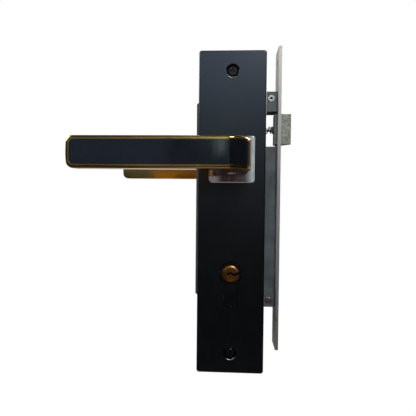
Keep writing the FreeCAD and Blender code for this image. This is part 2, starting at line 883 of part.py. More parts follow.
def coil(start, end, radius, wire, turns):
    """A coil spring along X as one unbroken tube, swept along pairs of tangent arcs."""
    rise = (end.x - start.x) / turns
    slope = rise / (2 * math.pi)

    def place(turn):
        angle = 2 * math.pi * turn
        return start + V(rise * turn, radius * math.cos(angle), radius * math.sin(angle))

    def heading(turn):
        angle = 2 * math.pi * turn
        return V(slope, -radius * math.sin(angle), radius * math.cos(angle)).normalize()

    edges = []
    for quarter in range(4 * turns):
        edges += arc_pair(place(quarter / 4), heading(quarter / 4),
                          place((quarter + 1) / 4), heading((quarter + 1) / 4))
    outward = V(0, 1, 0)
    across = heading(0).cross(outward).normalize()
    outward = across.cross(heading(0)).normalize()
    corners = []
    for step in range(latch_spring_sides + 1):
        angle = 2 * math.pi * (step + 0.5) / latch_spring_sides
        corners.append(place(0) + (outward * math.cos(angle) + across * math.sin(angle)) * (wire / 2))
    section = Part.Wire(Part.makePolygon(corners))
    return Part.Wire(edges).makePipeShell([section], True, False)


def arc_pair(first, first_heading, last, last_heading):
    """Two arcs that meet smoothly and carry one heading over to the other."""
    chord = last - first
    both = first_heading + last_heading
    spread = 2 * (first_heading.dot(last_heading) - 1)
    along = chord.dot(both)
    reach = (along - math.sqrt(along * along - spread * chord.dot(chord))) / spread
    near = first + first_heading * reach
    far = last - last_heading * reach
    joint = (near + far) * 0.5
    return [corner_arc(first, near, joint), corner_arc(joint, far, last)]


def corner_arc(start, corner, end):
    """The arc that touches both sides of a corner at start and end."""
    middle = (start + end) * 0.5
    half_chord = start.distanceToPoint(middle)
    lift = corner - middle
    angle = math.atan2(lift.Length, half_chord)
    crown = middle + lift.normalize() * (half_chord * math.tan(angle / 2))
    return Part.Arc(start, crown, end).toShape()


def least_coil_gap(length, radius, wire, turns):
    """The least distance from a coil's tube to its next turn, measured on points."""
    rise = length / turns
    least = None
    for step in range(40, 100):
        turn = step / 50
        angle = 2 * math.pi * turn
        across = radius * math.hypot(math.cos(angle) - 1, math.sin(angle))
        distance = math.hypot(rise * turn, across)
        if least is None or distance < least:
            least = distance
    return least - wire


def latch_spring():
    start = V(guide_x + latch_guide_thickness + latch_spring_wire / 2, 0, latch_z)
    end = V(latch_boss_x() - latch_spring_wire / 2, 0, latch_z)
    gap = least_coil_gap(end.x - start.x, latch_spring_radius, latch_spring_wire, latch_spring_turns)
    print("latch spring, least gap between turns:", round(gap, 2), "mm")
    return coil(start, end, latch_spring_radius, latch_spring_wire, latch_spring_turns)


def follower_nose(length):
    """One arm of the follower, pointing up, ending in a round nose."""
    y0 = cavity_front_y + flat_gap
    y1 = cavity_rear_y - flat_gap
    nose = rod_y(spindle_x, spindle_z + length, nose_radius, y0, y1)
    half = nose_arm_width / 2
    arm = block(spindle_x - half, spindle_x + half, y0, y1, spindle_z, spindle_z + length)
    return [nose, arm]


def follower():
    y0 = cavity_front_y + flat_gap
    y1 = cavity_rear_y - flat_gap
    hub = rod_y(spindle_x, spindle_z, hub_radius, y0, y1)
    outside = case_thickness / 2 + journal_proud
    journal = rod_y(spindle_x, spindle_z, journal_radius, -outside, outside)
    added = [journal]
    for piece in follower_nose(upper_arm):
        added.append(turned(piece, -handle_turn / 2))
    for piece in follower_nose(lower_arm):
        added.append(turned(piece, 180 - handle_turn / 2))
    half = spindle_side / 2 + flat_gap
    square = block(spindle_x - half, spindle_x + half, -outside, outside, spindle_z - half, spindle_z + half)
    return fuse_all(hub, added).cut(square)


def follower_spring_z():
    return spindle_z - lower_arm * math.cos(math.radians(handle_turn / 2))


def follower_spring():
    """The follower's return spring, from beside its lower arm to the case's stop."""
    z = follower_spring_z()
    outer = follower_spring_radius
    tilt = math.radians(handle_turn / 2)
    arm_x = spindle_x - (spindle_z - z - outer) * math.tan(tilt) + nose_arm_width / 2 / math.cos(tilt)
    nose_x = spindle_x - lower_arm * math.sin(tilt) + nose_radius
    left = max(arm_x, nose_x) + slide_gap
    return tube_x(0, z, outer, outer - follower_spring_wall, left, -follower_stop_place)


def slot_z():
    return deadbolt_z + tail_slot_rise


def tail_low_z():
    return cylinder_z + cam_reach + clear_gap


def deadbolt_head():
    half_y = deadbolt_thickness / 2
    half_z = deadbolt_height / 2
    round_off = deadbolt_round
    outline = rounded_wire([(-deadbolt_length, -half_y, 0), (0, -half_y, round_off),
                            (0, half_y, round_off), (-deadbolt_length, half_y, 0)])
    head = prism_z(outline, deadbolt_z - half_z, deadbolt_z + half_z)
    half_slot = tail_thickness / 2 + flat_gap
    slot = block(-deadbolt_length, -deadbolt_length + tail_overlap + flat_gap, -half_slot, half_slot,
                 deadbolt_z - half_z, deadbolt_z + half_z)
    cuts = [slot]
    for x, z in tail_pin_places():
        cuts.append(rod_y(x, z, tail_pin_radius + running_gap, -half_y, half_y))
    return head.cut(cuts)


def tail_pin_places():
    x = -deadbolt_length + tail_overlap / 2
    return ((x, deadbolt_z - tail_pin_spread), (x, deadbolt_z + tail_pin_spread))


def deadbolt_tail():
    low = tail_low_z()
    top = deadbolt_z + deadbolt_height / 2 - tail_top_step
    front = -deadbolt_length + tail_overlap
    half_notch = tail_notch_width / 2
    corner = tail_corner
    notch_top = low + tail_notch_height
    outline = rounded_wire([(-tail_reach, low, corner), (spindle_x - half_notch, low, corner),
                            (spindle_x - half_notch, notch_top, corner),
                            (spindle_x + half_notch, notch_top, corner),
                            (spindle_x + half_notch, low, corner), (front, low, 0), (front, top, 0),
                            (-tail_reach, top, tail_shoulder)])
    half_y = tail_thickness / 2
    tail = prism_y(outline, -half_y, half_y)
    half_slot = post_radius + slide_gap
    slot = prism_y(rectangle(-post_place - deadbolt_throw - half_slot, -post_place + half_slot,
                             slot_z() - half_slot, slot_z() + half_slot, post_radius), -half_y, half_y)
    cuts = [slot]
    for x, z in tail_pin_places():
        cuts.append(rod_y(x, z, tail_pin_radius + running_gap, -half_y, half_y))
    return tail.cut(cuts)


def deadbolt_pins():
    half_y = deadbolt_thickness / 2
    pins = []
    for x, z in tail_pin_places():
        pins.append(rod_y(x, z, tail_pin_radius, -half_y, half_y))
    return Part.makeCompound(pins)


def tumbler_z():
    return deadbolt_z + deadbolt_height / 2 - tail_top_step + tumbler_rise


def tumbler_top_z():
    return tumbler_z() + tumbler_half_height


def tumbler_spring_x():
    return -tumbler_place + tumbler_spring_place


def tumbler():
    """The deadbolt's detent lever: an eye on its pivot, an arm and a stud over the tail."""
    half_y = tumbler_thickness / 2
    z = tumbler_z()
    eye = rod_y(-tumbler_place, z, tumbler_eye, -half_y, half_y)
    arm = block(-tumbler_place, -tumbler_place + tumbler_reach, -half_y, half_y,
                z - tumbler_half_height, z + tumbler_half_height)
    tail_top = deadbolt_z + deadbolt_height / 2 - tail_top_step
    end = -tumbler_place + tumbler_reach
    stud = block(end - stud_width, end, -half_y, half_y, tail_top + clear_gap, z)
    hole = rod_y(-tumbler_place, z, post_radius + running_gap, -half_y, half_y)
    return fuse_all(eye, [arm, stud]).cut(hole)


def tumbler_spring():
    outer = tumbler_spring_radius
    low = tumbler_top_z() + flat_gap
    return tube_z(tumbler_spring_x(), 0, outer, outer - tumbler_spring_wall, low,
                  tumbler_top_z() + tumbler_spring_length)


def pin_places():
    places = []
    for index in range(pin_count):
        places.append(-cylinder_length / 2 + pin_first + index * pin_pitch)
    return places


def chamber_foot_z():
    return cylinder_z - tongue_depth


def cylinder_body():
    reach = cylinder_length / 2
    half_slot = cam_slot / 2
    body = profile_prism(0, -reach, reach)
    cuts = [block(spindle_x - 2 * profile_radius, spindle_x + 2 * profile_radius, -half_slot, half_slot,
                  cylinder_z - bridge_depth, cylinder_z + 2 * profile_radius)]
    cuts.append(rod_y(spindle_x, cylinder_z, plug_radius + running_gap, -reach, reach))
    screw_z = cylinder_z - fixing_screw_drop
    cuts.append(rod_x(0, screw_z, fixing_screw_radius + running_gap,
                      spindle_x - profile_radius, spindle_x + profile_radius))
    for y in pin_places():
        for side in (1, -1):
            cuts.append(pin_rod(side * y, pin_radius + running_gap, chamber_foot_z() - overshoot, cylinder_z))
    return body.cut(cuts)


def keyway(y0, y1):
    """A waved key slot, open at the plug's right edge."""
    left = spindle_x + plug_radius - keyway_length
    right = spindle_x + plug_radius + overshoot
    half = keyway_height / 2
    wave = keyway_wave
    xs = (left, left + keyway_bends[0], left + keyway_bends[1], right)
    lifts = (-wave, wave, -wave, wave)
    upper = [(x, cylinder_z + lift + half, 0) for x, lift in zip(xs, lifts)]
    lower = [(x, cylinder_z + lift - half, 0) for x, lift in zip(xs, lifts)]
    return prism_y(rounded_wire(lower + upper[::-1]), y0, y1)


def front_plug():
    reach = cylinder_length / 2
    shoulder = -cam_slot / 2
    barrel = rod_y(spindle_x, cylinder_z, plug_radius, -reach, shoulder)
    barrel = barrel.makeChamfer(plug_edge, flat_edges(barrel, -reach))
    stub = rod_y(spindle_x, cylinder_z, stub_radius, shoulder, -cam_width / 2 + stub_length)
    cuts = [keyway(-reach, -reach + keyway_depth)]
    for y in pin_places():
        cuts.append(pin_rod(y, pin_radius + running_gap, cylinder_z - plug_radius, cylinder_z))
    return fuse_all(barrel, [stub]).cut(cuts)


def front_key_pins():
    """Key pins that end just inside the plug's round, with a nose in the keyway."""
    foot = math.sqrt(plug_radius ** 2 - pin_radius ** 2) - running_gap
    top = keyway_height / 2 + keyway_wave + flat_gap
    pins = []
    for y in pin_places():
        pin = pin_rod(y, pin_radius, cylinder_z - foot, cylinder_z - top)
        pins.append(pin.makeChamfer(pin_nose, level_edges(pin, cylinder_z - top)))
    return Part.makeCompound(pins)


def chamber_stack(low, high, inner=None):
    """One solid in each pin chamber, front and rear, between two depths below the plug's axis."""
    pieces = []
    for y in pin_places():
        for side in (1, -1):
            piece = pin_rod(side * y, pin_radius, cylinder_z - low, cylinder_z - high)
            if inner:
                piece = piece.cut(pin_rod(side * y, inner, cylinder_z - low, cylinder_z - high))
            pieces.append(piece)
    return Part.makeCompound(pieces)


def driver_pin_foot():
    return plug_radius + flat_gap + driver_pin_length


def driver_pins():
    return chamber_stack(driver_pin_foot(), plug_radius + flat_gap)


def pin_springs():
    low = tongue_depth - flat_gap - chamber_plug_length
    return chamber_stack(low, driver_pin_foot(), pin_radius - pin_spring_wall)


def chamber_plugs():
    low = tongue_depth - flat_gap
    return chamber_stack(low, low - chamber_plug_length)


def front_plug_clip():
    inside = -cam_slot / 2 + flat_gap
    return tube_y(spindle_x, cylinder_z, plug_clip_radius, stub_radius + running_gap,
                  inside, inside + plug_clip_thickness)


def cam():
    half = cam_width / 2
    ring = rod_y(spindle_x, cylinder_z, cam_ring_radius, -half, half)
    half_bit = cam_bit_width / 2
    bit = block(spindle_x - half_bit, spindle_x + half_bit, -half, half, cylinder_z - cam_reach, cylinder_z)
    bit = bit.common(rod_y(spindle_x, cylinder_z, cam_reach, -half, half))
    body = fuse_all(ring, [bit]).cut(rod_y(spindle_x, cylinder_z, stub_radius + running_gap, -half, half))
    return turned(body, cam_rest_angle, spindle_x, cylinder_z)


def cam_coupling():
    half = cam_width / 2 - stub_length - flat_gap
    return rod_y(spindle_x, cylinder_z, stub_radius, -half, half)


def fixing_screw():
    z = cylinder_z - fixing_screw_drop
    shank = rod_x(0, z, fixing_screw_radius, -fixing_screw_length, 0)
    head = Part.makeCone(fixing_screw_radius, fixing_head_radius, fixing_head_depth,
                         V(-fixing_head_depth, 0, z), V(1, 0, 0))
    half = cross_width / 2
    reach = cross_length / 2
    upright = block(-cross_depth, 0, -half, half, z - reach, z + reach)
    level = block(-cross_depth, 0, -reach, reach, z - half, z + half)
    return fuse_all(shank, [head]).cut([upright, level])


def pieces():
    """Every node's name and shape."""
    found = {"front_plate": front_plate(), "rear_plate": rear_plate()}
    handed = {"rose": rose, "bush": bush, "lever": lever, "lever_inlay": lever_inlay,
              "grub_screw": grub_screw, "spring_driver": spring_driver, "circlip": circlip,
              "handle_spring": handle_spring, "plug": front_plug, "key_pins": front_key_pins,
              "plug_clip": front_plug_clip}
    for name, make in handed.items():
        shape = make()
        found["front_" + name] = shape
        found["rear_" + name] = rear(shape)
    single = {"spindle": spindle, "plate_bolts": plate_bolts, "bolt_sleeves": bolt_sleeves,
              "lock_case": lock_case, "case_cover": case_cover, "case_rivets": case_rivets,
              "forend": forend, "forend_rivets": forend_rivets, "latch_head": latch_head,
              "latch_rod": latch_rod, "latch_hook": latch_hook, "latch_guide": latch_guide,
              "latch_spring": latch_spring, "follower": follower, "follower_spring": follower_spring,
              "deadbolt_head": deadbolt_head, "deadbolt_tail": deadbolt_tail,
              "deadbolt_pins": deadbolt_pins, "tumbler": tumbler, "tumbler_spring": tumbler_spring,
              "cylinder_body": cylinder_body, "driver_pins": driver_pins, "pin_springs": pin_springs,
              "chamber_plugs": chamber_plugs, "cam": cam, "cam_coupling": cam_coupling,
              "fixing_screw": fixing_screw}
    for name, make in single.items():
        found[name] = make()
    return found


def main():
    os.makedirs("parts", exist_ok=True)
    for name, shape in pieces().items():
        shape.exportStep("parts/" + name + ".step")


main()
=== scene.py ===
import json
import math

import bmesh
import bpy
from bpy.props import FloatProperty, FloatVectorProperty, IntProperty, PointerProperty
from mathutils import Matrix, Vector


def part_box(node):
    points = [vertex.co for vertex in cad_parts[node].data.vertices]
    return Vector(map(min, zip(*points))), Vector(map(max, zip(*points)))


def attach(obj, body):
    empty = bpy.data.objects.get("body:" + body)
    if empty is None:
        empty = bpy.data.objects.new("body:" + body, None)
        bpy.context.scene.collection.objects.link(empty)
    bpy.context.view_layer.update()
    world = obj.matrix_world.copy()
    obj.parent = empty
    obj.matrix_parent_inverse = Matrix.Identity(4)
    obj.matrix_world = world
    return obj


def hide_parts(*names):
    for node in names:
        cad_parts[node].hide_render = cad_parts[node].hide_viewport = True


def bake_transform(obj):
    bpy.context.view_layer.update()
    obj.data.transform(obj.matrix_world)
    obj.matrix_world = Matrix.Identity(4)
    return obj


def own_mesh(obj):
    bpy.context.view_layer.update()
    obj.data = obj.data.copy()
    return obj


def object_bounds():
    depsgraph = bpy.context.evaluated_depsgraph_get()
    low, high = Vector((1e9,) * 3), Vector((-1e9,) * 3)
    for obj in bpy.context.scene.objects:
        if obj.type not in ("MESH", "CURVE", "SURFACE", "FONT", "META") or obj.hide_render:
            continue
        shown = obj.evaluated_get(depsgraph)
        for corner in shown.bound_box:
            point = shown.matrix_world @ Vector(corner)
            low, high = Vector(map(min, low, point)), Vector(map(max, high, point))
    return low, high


bl_info = {
    "name": "Door Handle Lockset",
    "version": (1, 0, 0),
    "blender": (4, 5, 0),
    "location": "View3D > Sidebar > Lockset",
    "description": "Dresses a mortise lockset with plates, levers, latch and cylinder",
    "category": "Object",
}

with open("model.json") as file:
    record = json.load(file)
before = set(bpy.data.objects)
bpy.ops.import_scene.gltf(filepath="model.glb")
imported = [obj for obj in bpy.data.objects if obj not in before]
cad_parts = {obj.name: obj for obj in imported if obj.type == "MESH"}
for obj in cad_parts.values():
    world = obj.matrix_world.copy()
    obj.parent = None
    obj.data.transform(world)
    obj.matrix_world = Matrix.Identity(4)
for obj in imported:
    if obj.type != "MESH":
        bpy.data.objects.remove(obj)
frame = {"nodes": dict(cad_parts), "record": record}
CAD_LOW, CAD_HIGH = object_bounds()

MM = 0.001
SPINDLE_X = (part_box("spindle")[0].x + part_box("spindle")[1].x) / 2
CYLINDER_Z = (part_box("front_plug")[0].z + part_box("front_plug")[1].z) / 2
LATCH_Z = (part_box("latch_rod")[0].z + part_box("latch_rod")[1].z) / 2

# The room's light by the sine of the height, before the lockset and behind it
BEFORE_STOPS = ((-1.0, (0.15, 0.14, 0.13)), (-0.60, (0.12, 0.11, 0.10)),
                (-0.45, (0.004, 0.0035, 0.0035)), (-0.15, (0.009, 0.008, 0.009)),
                (0.0, (0.038, 0.041, 0.045)), (0.10, (0.050, 0.062, 0.078)),
                (0.20, (0.050, 0.075, 0.110)), (0.28, (0.31, 0.44, 0.66)),
                (0.38, (0.76, 1.07, 1.53)), (0.46, (0.29, 0.39, 0.50)),
                (0.52, (0.06, 0.065, 0.07)), (1.0, (0.05, 0.05, 0.05)))
BEHIND_STOPS = ((-1.0, (0.03, 0.03, 0.03)), (-0.35, (0.12, 0.11, 0.10)),
                (-0.08, (0.42, 0.38, 0.34)), (0.02, (0.40, 0.37, 0.34)),
                (0.06, (0.14, 0.13, 0.13)), (0.22, (0.20, 0.20, 0.20)),
                (0.5, (0.18, 0.18, 0.18)), (1.0, (0.15, 0.15, 0.15)))
# How far along +Y a ray looks where the room behind begins to show, and where it shows alone
BEHIND_FROM, BEHIND_TO = 0.35, 0.85
# How far along X the light before the lockset is full, where its fall ends, and what is left there
AHEAD_TO, SIDE_FROM, SIDE_LIGHT = 0.08, 0.24, 0.22
# Cards that the bright roses mirror: their lower left and upper right corners, and their light
CARD_Y = -1.0
REFLECTED_CARDS = (("dark doorway", (-0.072, -0.16), (0.019, 0.088), (0.020, 0.008, 0.008)),
                   ("left card", (-0.35, 0.0), (-0.078, 0.085), (0.18, 0.16, 0.15)),
                   ("right card", (0.020, -0.03), (0.050, 0.20), (0.44, 0.49, 0.50)),
                   ("wall card", (-0.60, 0.086), (-0.22, 0.22), (0.12, 0.155, 0.23)),
                   ("slit card", (-0.072, 0.13), (-0.061, 0.45), (2.2, 2.7, 2.6)))
# Each softbox: its place, width, height and watts
SOFTBOXES = (("upper softbox", (0.18, -0.56, 0.55), 0.18, 0.18, 1.9),
             ("left softbox", (-1.3, -0.3, 0.9), 0.8, 0.8, 5.5),
             ("back left softbox", (-1.4, 0.1, 0.8), 0.8, 0.8, 10.0),
             ("back right softbox", (1.1, 0.9, 0.7), 0.8, 0.8, 12.0),
             ("back softbox", (0.1, 0.8, 0.75), 0.6, 0.4, 1.6))
FLOOR_SIDE = 8.0
SENSOR_WIDTH = 36.0

BLACK = (0.0, 0.0, 0.0, 1.0)
WHITE = (1.0, 1.0, 1.0, 1.0)
# Bare steel where lacquer is worn or scratched, and also the colour of the painted highlight on the bolt
# holes' lower lips
BARE_STEEL_OR_HIGHLIGHT = (0.45, 0.44, 0.42, 1.0)
TARNISH = (0.03, 0.015, 0.006, 1.0)
# Near black that stands in for the shadow down in the keyway: painted shade
PAINTED_SHADE_COLOUR = (0.010, 0.006, 0.004, 1.0)
# Painted shade in the keyway: how far inside the plug's face the darkening starts, and where it is full
PAINTED_SHADE_FROM, PAINTED_SHADE_TO = 0.35 * MM, 1.4 * MM
# Where noise mostly lies, between 0 and 1
NOISE_RANGE = (0.3, 0.7)
# The scale of the clouds as a share of the grain's, and of the brushed lines'
GRAIN_CLOUD, LINE_CLOUD = 0.05, 0.1
# The level over which wear fades into the sound finish
WEAR_FADE = 0.06
# Each run of scratches: its turn, and how thin it is drawn
SCRATCH_RUNS = ((0.6, 6.0), (-0.9, 9.0), (2.2, 7.0))

# Degrees: the least angle of a true edge, of a sharp one, and of a rim that is rounded
FLAT_ANGLE, SHARP_ANGLE, RIM_ANGLE = 0.8, 32.0, 20.0
MERGE_DISTANCE = 1e-6
FACE_TOLERANCE = 0.02 * MM
EDGE_SEGMENTS, RIM_SEGMENTS = 2, 5
NORMAL_WEIGHT = 80
# What the edge attribute says where a rim's foot takes a painted highlight, and how far down from its centre
# a rim's foot points
HIGHLIGHT_MARK = 2.0
FOOT_DIRECTION = -0.85
# Rims, as shares of a radius: a bolt hole's reach, a plug's ring, and its band beside the keyway
BOLT_RIM = (0.0, 1.5)
PLUG_RIM = (0.72, 0.9)
KEYWAY_BAND = 0.35
# Points in a turn and sides of the section, for coils and for threads
COIL_POINTS, WIRE_SIDES = 40, 12
THREAD_POINTS, RIDGE_SIDES = 24, 4
# The share of a thread's depth that is sunk in its shank
THREAD_SUNK = 0.55
# Turns from upright to lying along X, and along Y
ALONG_X = Matrix(((0, 0, 1), (1, 0, 0), (0, 1, 0))).to_4x4()
ALONG_Y = Matrix(((0, 1, 0), (0, 0, 1), (1, 0, 0))).to_4x4()


def length(name, description, millimetres):
    return FloatProperty(name=name, description=description, default=millimetres * MM, unit="LENGTH")


def angle(name, description, radians):
    return FloatProperty(name=name, description=description, default=radians, unit="ROTATION")


def turns(name, description, number):
    return IntProperty(name=name, description=description, default=number)


def tint(name, description, *colour):
    return FloatVectorProperty(name=name, description=description, default=(*colour, 1.0), size=4,
                               subtype="COLOR")


class LocksetSizes(bpy.types.PropertyGroup):
    """Sizes of what is softened or wound."""
    plate_edge: length("Plate edge", "Softening of the plates' sharp edges", 0.30)
    hole_lip: length("Bolt hole lip", "Rounding of the front plate's bolt holes", 0.70)
    plug_dome: length("Plug dome", "Rounding of the key plugs' faces into their rims", 1.0)
    metal_edge: length("Metal edge", "Softening of turned and pressed edges", 0.10)
    lever_edge: length("Lever edge", "Softening of the lever's sharp edges", 0.15)
    cast_edge: length("Cast edge", "Softening of the cast latch's edges", 0.80)
    spring_wire: length("Spring wire", "Wire diameter of the latch's and follower's springs", 0.8)
    spring_radius: length("Spring radius", "Mean radius of the latch spring", 2.6)
    spring_turns: turns("Spring turns", "Turns of the latch spring", 6)
    follower_turns: turns("Follower turns", "Turns of the follower's spring", 8)
    tumbler_turns: turns("Tumbler turns", "Turns of the tumbler's spring", 5)
    tumbler_wire: length("Tumbler wire", "Wire diameter of the tumbler's spring", 0.6)
    thread_pitch: length("Thread pitch", "Pitch of the through bolts' thread", 0.8)
    thread_depth: length("Thread depth", "Depth of the through bolts' thread", 0.35)
    thread_length: length("Thread length", "Length of the through bolts' thread", 32.0)
    shank_radius: length("Shank radius", "Radius of the through bolts' shanks", 2.5)


class LocksetColours(bpy.types.PropertyGroup):
    """Base colours of the finishes."""
    plate: tint("Plate lacquer", "Satin blue-black of the plates", 0.0022, 0.0028, 0.0038)
    gold: tint("Lever gold", "Polished champagne gold of the levers", 0.82, 0.52, 0.15)
    inlay: tint("Inlay black", "Satin black of the lever's inlay", 0.0075, 0.008, 0.011)
    chrome: tint("Rose chrome", "Bright plating of the roses", 0.86, 0.86, 0.87)
    case: tint("Case grey", "Grey lacquer of the lock case", 0.150, 0.166, 0.170)
    forend: tint("Forend steel", "Brushed steel of the forend", 0.80, 0.76, 0.70)
    zinc: tint("Cast zinc", "Tumbled zinc of the latch head", 0.49, 0.48, 0.395)
    plating: tint("Zinc plating", "Plated steel of the inner pieces", 0.50, 0.49, 0.46)
    brass: tint("Plug brass", "Turned brass of the key plugs", 0.80, 0.33, 0.09)
    cylinder: tint("Cylinder black", "Black of the cylinder's body and of the bolts", 0.006, 0.0058, 0.006)
    rivet: tint("Rivet metal", "Bright metal of the upper rivets", 0.74, 0.69, 0.58)
    copper: tint("Rivet copper", "Coppery tint of the lower rivets", 0.78, 0.57, 0.50)
    nylon: tint("Bush nylon", "Moulded nylon of the bushes", 0.72, 0.70, 0.63)
    floor: tint("Floor", "Pale floor of the studio", 0.88, 0.88, 0.88)


class LocksetStage(bpy.types.PropertyGroup):
    """The studio's camera and light."""
    camera_place: FloatVectorProperty(name="Camera place", description="The camera's place before the plate",
                                      default=(-0.039146, -0.333482, 0.001041), size=3,
                                      subtype="TRANSLATION")
    camera_tilt: angle("Camera tilt", "Turn about the camera's level axis", 0.0259)
    camera_pan: angle("Camera pan", "Turn about the upright axis", 0.0531)
    camera_roll: angle("Camera roll", "Turn about the line of sight", 0.0097)
    camera_lens: FloatProperty(name="Lens", description="Focal length in millimetres", default=35.5)
    floor_drop: length("Floor drop", "Height of the lockset over the floor", 320.0)
    world_light: FloatProperty(name="World light", description="Strength of the room's light", default=1.5)


def sizes():
    return bpy.context.scene.lockset_sizes


def colours():
    return bpy.context.scene.lockset_colours


def stage_values():
    return bpy.context.scene.lockset_stage


def linked(name, data):
    """A new object in the scene, at the origin."""
    thing = bpy.data.objects.new(name, data)
    bpy.context.scene.collection.objects.link(thing)
    return thing


def scaled(colour, factor):
    """A colour made lighter or darker."""
    return (colour[0] * factor, colour[1] * factor, colour[2] * factor, 1.0)


def add_node(tree, kind, inputs=None, **settings):
    """A node with its settings, its values and its links."""
    node = tree.nodes.new(kind)
    for name, value in settings.items():
        setattr(node, name, value)
    for name, value in (inputs or {}).items():
        socket = node.inputs[name]
        if isinstance(value, bpy.types.NodeSocket):
            tree.links.new(value, socket)
        else:
            socket.default_value = value
    return node


def maths(tree, operation, first, second=0.0):
    return add_node(tree, "ShaderNodeMath", {0: first, 1: second}, operation=operation).outputs[0]


def stretch(tree, value, low, high, new_low=0.0, new_high=1.0):
    """A value carried from one range to another and held there."""
    node = add_node(tree, "ShaderNodeMapRange", {"Value": value, "From Min": low, "From Max": high,
                                                 "To Min": new_low, "To Max": new_high})
    return node.outputs["Result"]


def evened(tree, cloud, low=0.0, high=1.0):
    """Noise, which keeps mostly to its middle, carried to a whole range."""
    return stretch(tree, cloud, *NOISE_RANGE, low, high)


def noise(tree, vector, scale, detail, roughness=0.5):
    node = add_node(tree, "ShaderNodeTexNoise", {"Vector": vector, "Scale": scale, "Detail": detail,
                                                 "Roughness": roughness})
    return node.outputs["Fac"]


def axis_of(tree, vector, axis):
    return add_node(tree, "ShaderNodeSeparateXYZ", {"Vector": vector}).outputs[axis]


def blend_colours(tree, share, first, second):
    node = add_node(tree, "ShaderNodeMix", {"Factor": share, "A": first, "B": second}, data_type="RGBA")
    return node.outputs["Result"]


def mottled(tree, share, colour, dark, light):
    """A colour that a share makes darker or lighter."""
    return blend_colours(tree, share, scaled(colour, dark), scaled(colour, light))


def grouped_tree(name, kind, inputs, outputs):
    """A node group with its sockets: a float where a value is given, or else what the label names."""
    tree = bpy.data.node_groups.new(name, kind)
    for direction, sockets in (("INPUT", inputs), ("OUTPUT", outputs)):
        for label, value in sockets.items():
            socket_type = "NodeSocket" + (label if value is None else "Float")
            socket = tree.interface.new_socket(name=label, in_out=direction, socket_type=socket_type)
            if value is not None:
                socket.default_value = value
    return tree, tree.nodes.new("NodeGroupInput").outputs, tree.nodes.new("NodeGroupOutput").inputs


def shader_group(name, inputs, outputs):
    """An empty shader group that takes a place and puts out floats."""
    return grouped_tree(name, "ShaderNodeTree", {"Vector": None, **inputs}, dict.fromkeys(outputs, 0.0))


def grain_group():
    """Fine even grain, as on lacquer or a casting."""
    tree, given, out = shader_group("Fine grain", {"Scale": 1500.0, "Roughness": 0.6}, ("Value", "Cloud"))
    wide_scale = maths(tree, "MULTIPLY", given["Scale"], GRAIN_CLOUD)
    tree.links.new(noise(tree, given["Vector"], given["Scale"], 3.0, given["Roughness"]), out["Value"])
    tree.links.new(noise(tree, given["Vector"], wide_scale, 2.0), out["Cloud"])
    return tree


def brushed_group():
    """Long thin lines, stretched by the mapping that feeds it."""
    tree, given, out = shader_group("Brushed lines", {"Scale": 1.0, "Contrast": 0.5}, ("Lines", "Cloud"))
    lines = noise(tree, given["Vector"], given["Scale"], 5.0, 0.7)
    low = maths(tree, "SUBTRACT", 0.5, given["Contrast"])
    high = maths(tree, "ADD", 0.5, given["Contrast"])
    wide_scale = maths(tree, "MULTIPLY", given["Scale"], LINE_CLOUD)
    tree.links.new(stretch(tree, lines, low, high), out["Lines"])
    tree.links.new(noise(tree, given["Vector"], wide_scale, 2.0), out["Cloud"])
    return tree


def wear_and_highlight_group():
    """Where a finish is rubbed: along softened edges in scattered spots, and wholly where the edge attribute
    marks a painted highlight.
    """
    tree, given, out = shader_group("Edge wear and painted highlight", {"Edge": 0.0, "Scale": 300.0, "Amount": 0.5}, ("Mask",))
    patch = noise(tree, given["Vector"], given["Scale"], 6.0, 0.65)
    level = maths(tree, "SUBTRACT", 1.0, given["Amount"])
    rubbed = stretch(tree, patch, maths(tree, "SUBTRACT", level, WEAR_FADE), level)
    # Painted highlight: an edge value over 1 marks a bolt hole's lower lip, which then shows as bare steel
    bare_or_highlight = maths(tree, "MAXIMUM", maths(tree, "SUBTRACT", given["Edge"], 1.0), 0.0)
    tree.links.new(maths(tree, "MAXIMUM", maths(tree, "MULTIPLY", rubbed, given["Edge"]), bare_or_highlight), out["Mask"])
    return tree


def scratch_group():
    """Thin stray scratches that run in several directions."""
    tree, given, out = shader_group("Scratches", {"Scale": 60.0, "Width": 0.02, "Amount": 0.5}, ("Mask",))
    level = maths(tree, "SUBTRACT", 1.0, given["Amount"])
    total = 0.0
    for turn, squeeze in SCRATCH_RUNS:
        turned = add_node(tree, "ShaderNodeMapping", {"Vector": given["Vector"],
                                                      "Rotation": (0.0, turn, turn / 2),
                                                      "Scale": (squeeze, 1.0, 1.0)}).outputs["Vector"]
        web = add_node(tree, "ShaderNodeTexVoronoi", {"Vector": turned, "Scale": given["Scale"]},
                       feature="DISTANCE_TO_EDGE").outputs["Distance"]
        shown = maths(tree, "GREATER_THAN", noise(tree, turned, given["Scale"], 1.0), level)
        mark = maths(tree, "MULTIPLY", stretch(tree, web, given["Width"], 0.0), shown)
        total = maths(tree, "MAXIMUM", total, mark)
    tree.links.new(total, out["Mask"])
    return tree


def turned_group():
    """Fine rings about the Y axis, as a lathe leaves them."""
    tree, given, out = shader_group("Turned rings", {"Pitch": 0.0002}, ("Rings",))
    flat = add_node(tree, "ShaderNodeCombineXYZ", {"X": axis_of(tree, given["Vector"], "X"),
                                                   "Y": axis_of(tree, given["Vector"], "Z")})
    radius = add_node(tree, "ShaderNodeVectorMath", {0: flat.outputs["Vector"]}, operation="LENGTH")
    steps = maths(tree, "DIVIDE", radius.outputs["Value"], given["Pitch"])
    wobble = add_node(tree, "ShaderNodeTexNoise", {"W": steps, "Scale": 1.0, "Detail": 3.0},
                      noise_dimensions="1D")
    tree.links.new(wobble.outputs["Fac"], out["Rings"])
    return tree


GROUP_MAKERS = {"grain": grain_group, "brushed": brushed_group, "wear": wear_and_highlight_group,
                "scratches": scratch_group, "turned": turned_group}
GROUPS = {}


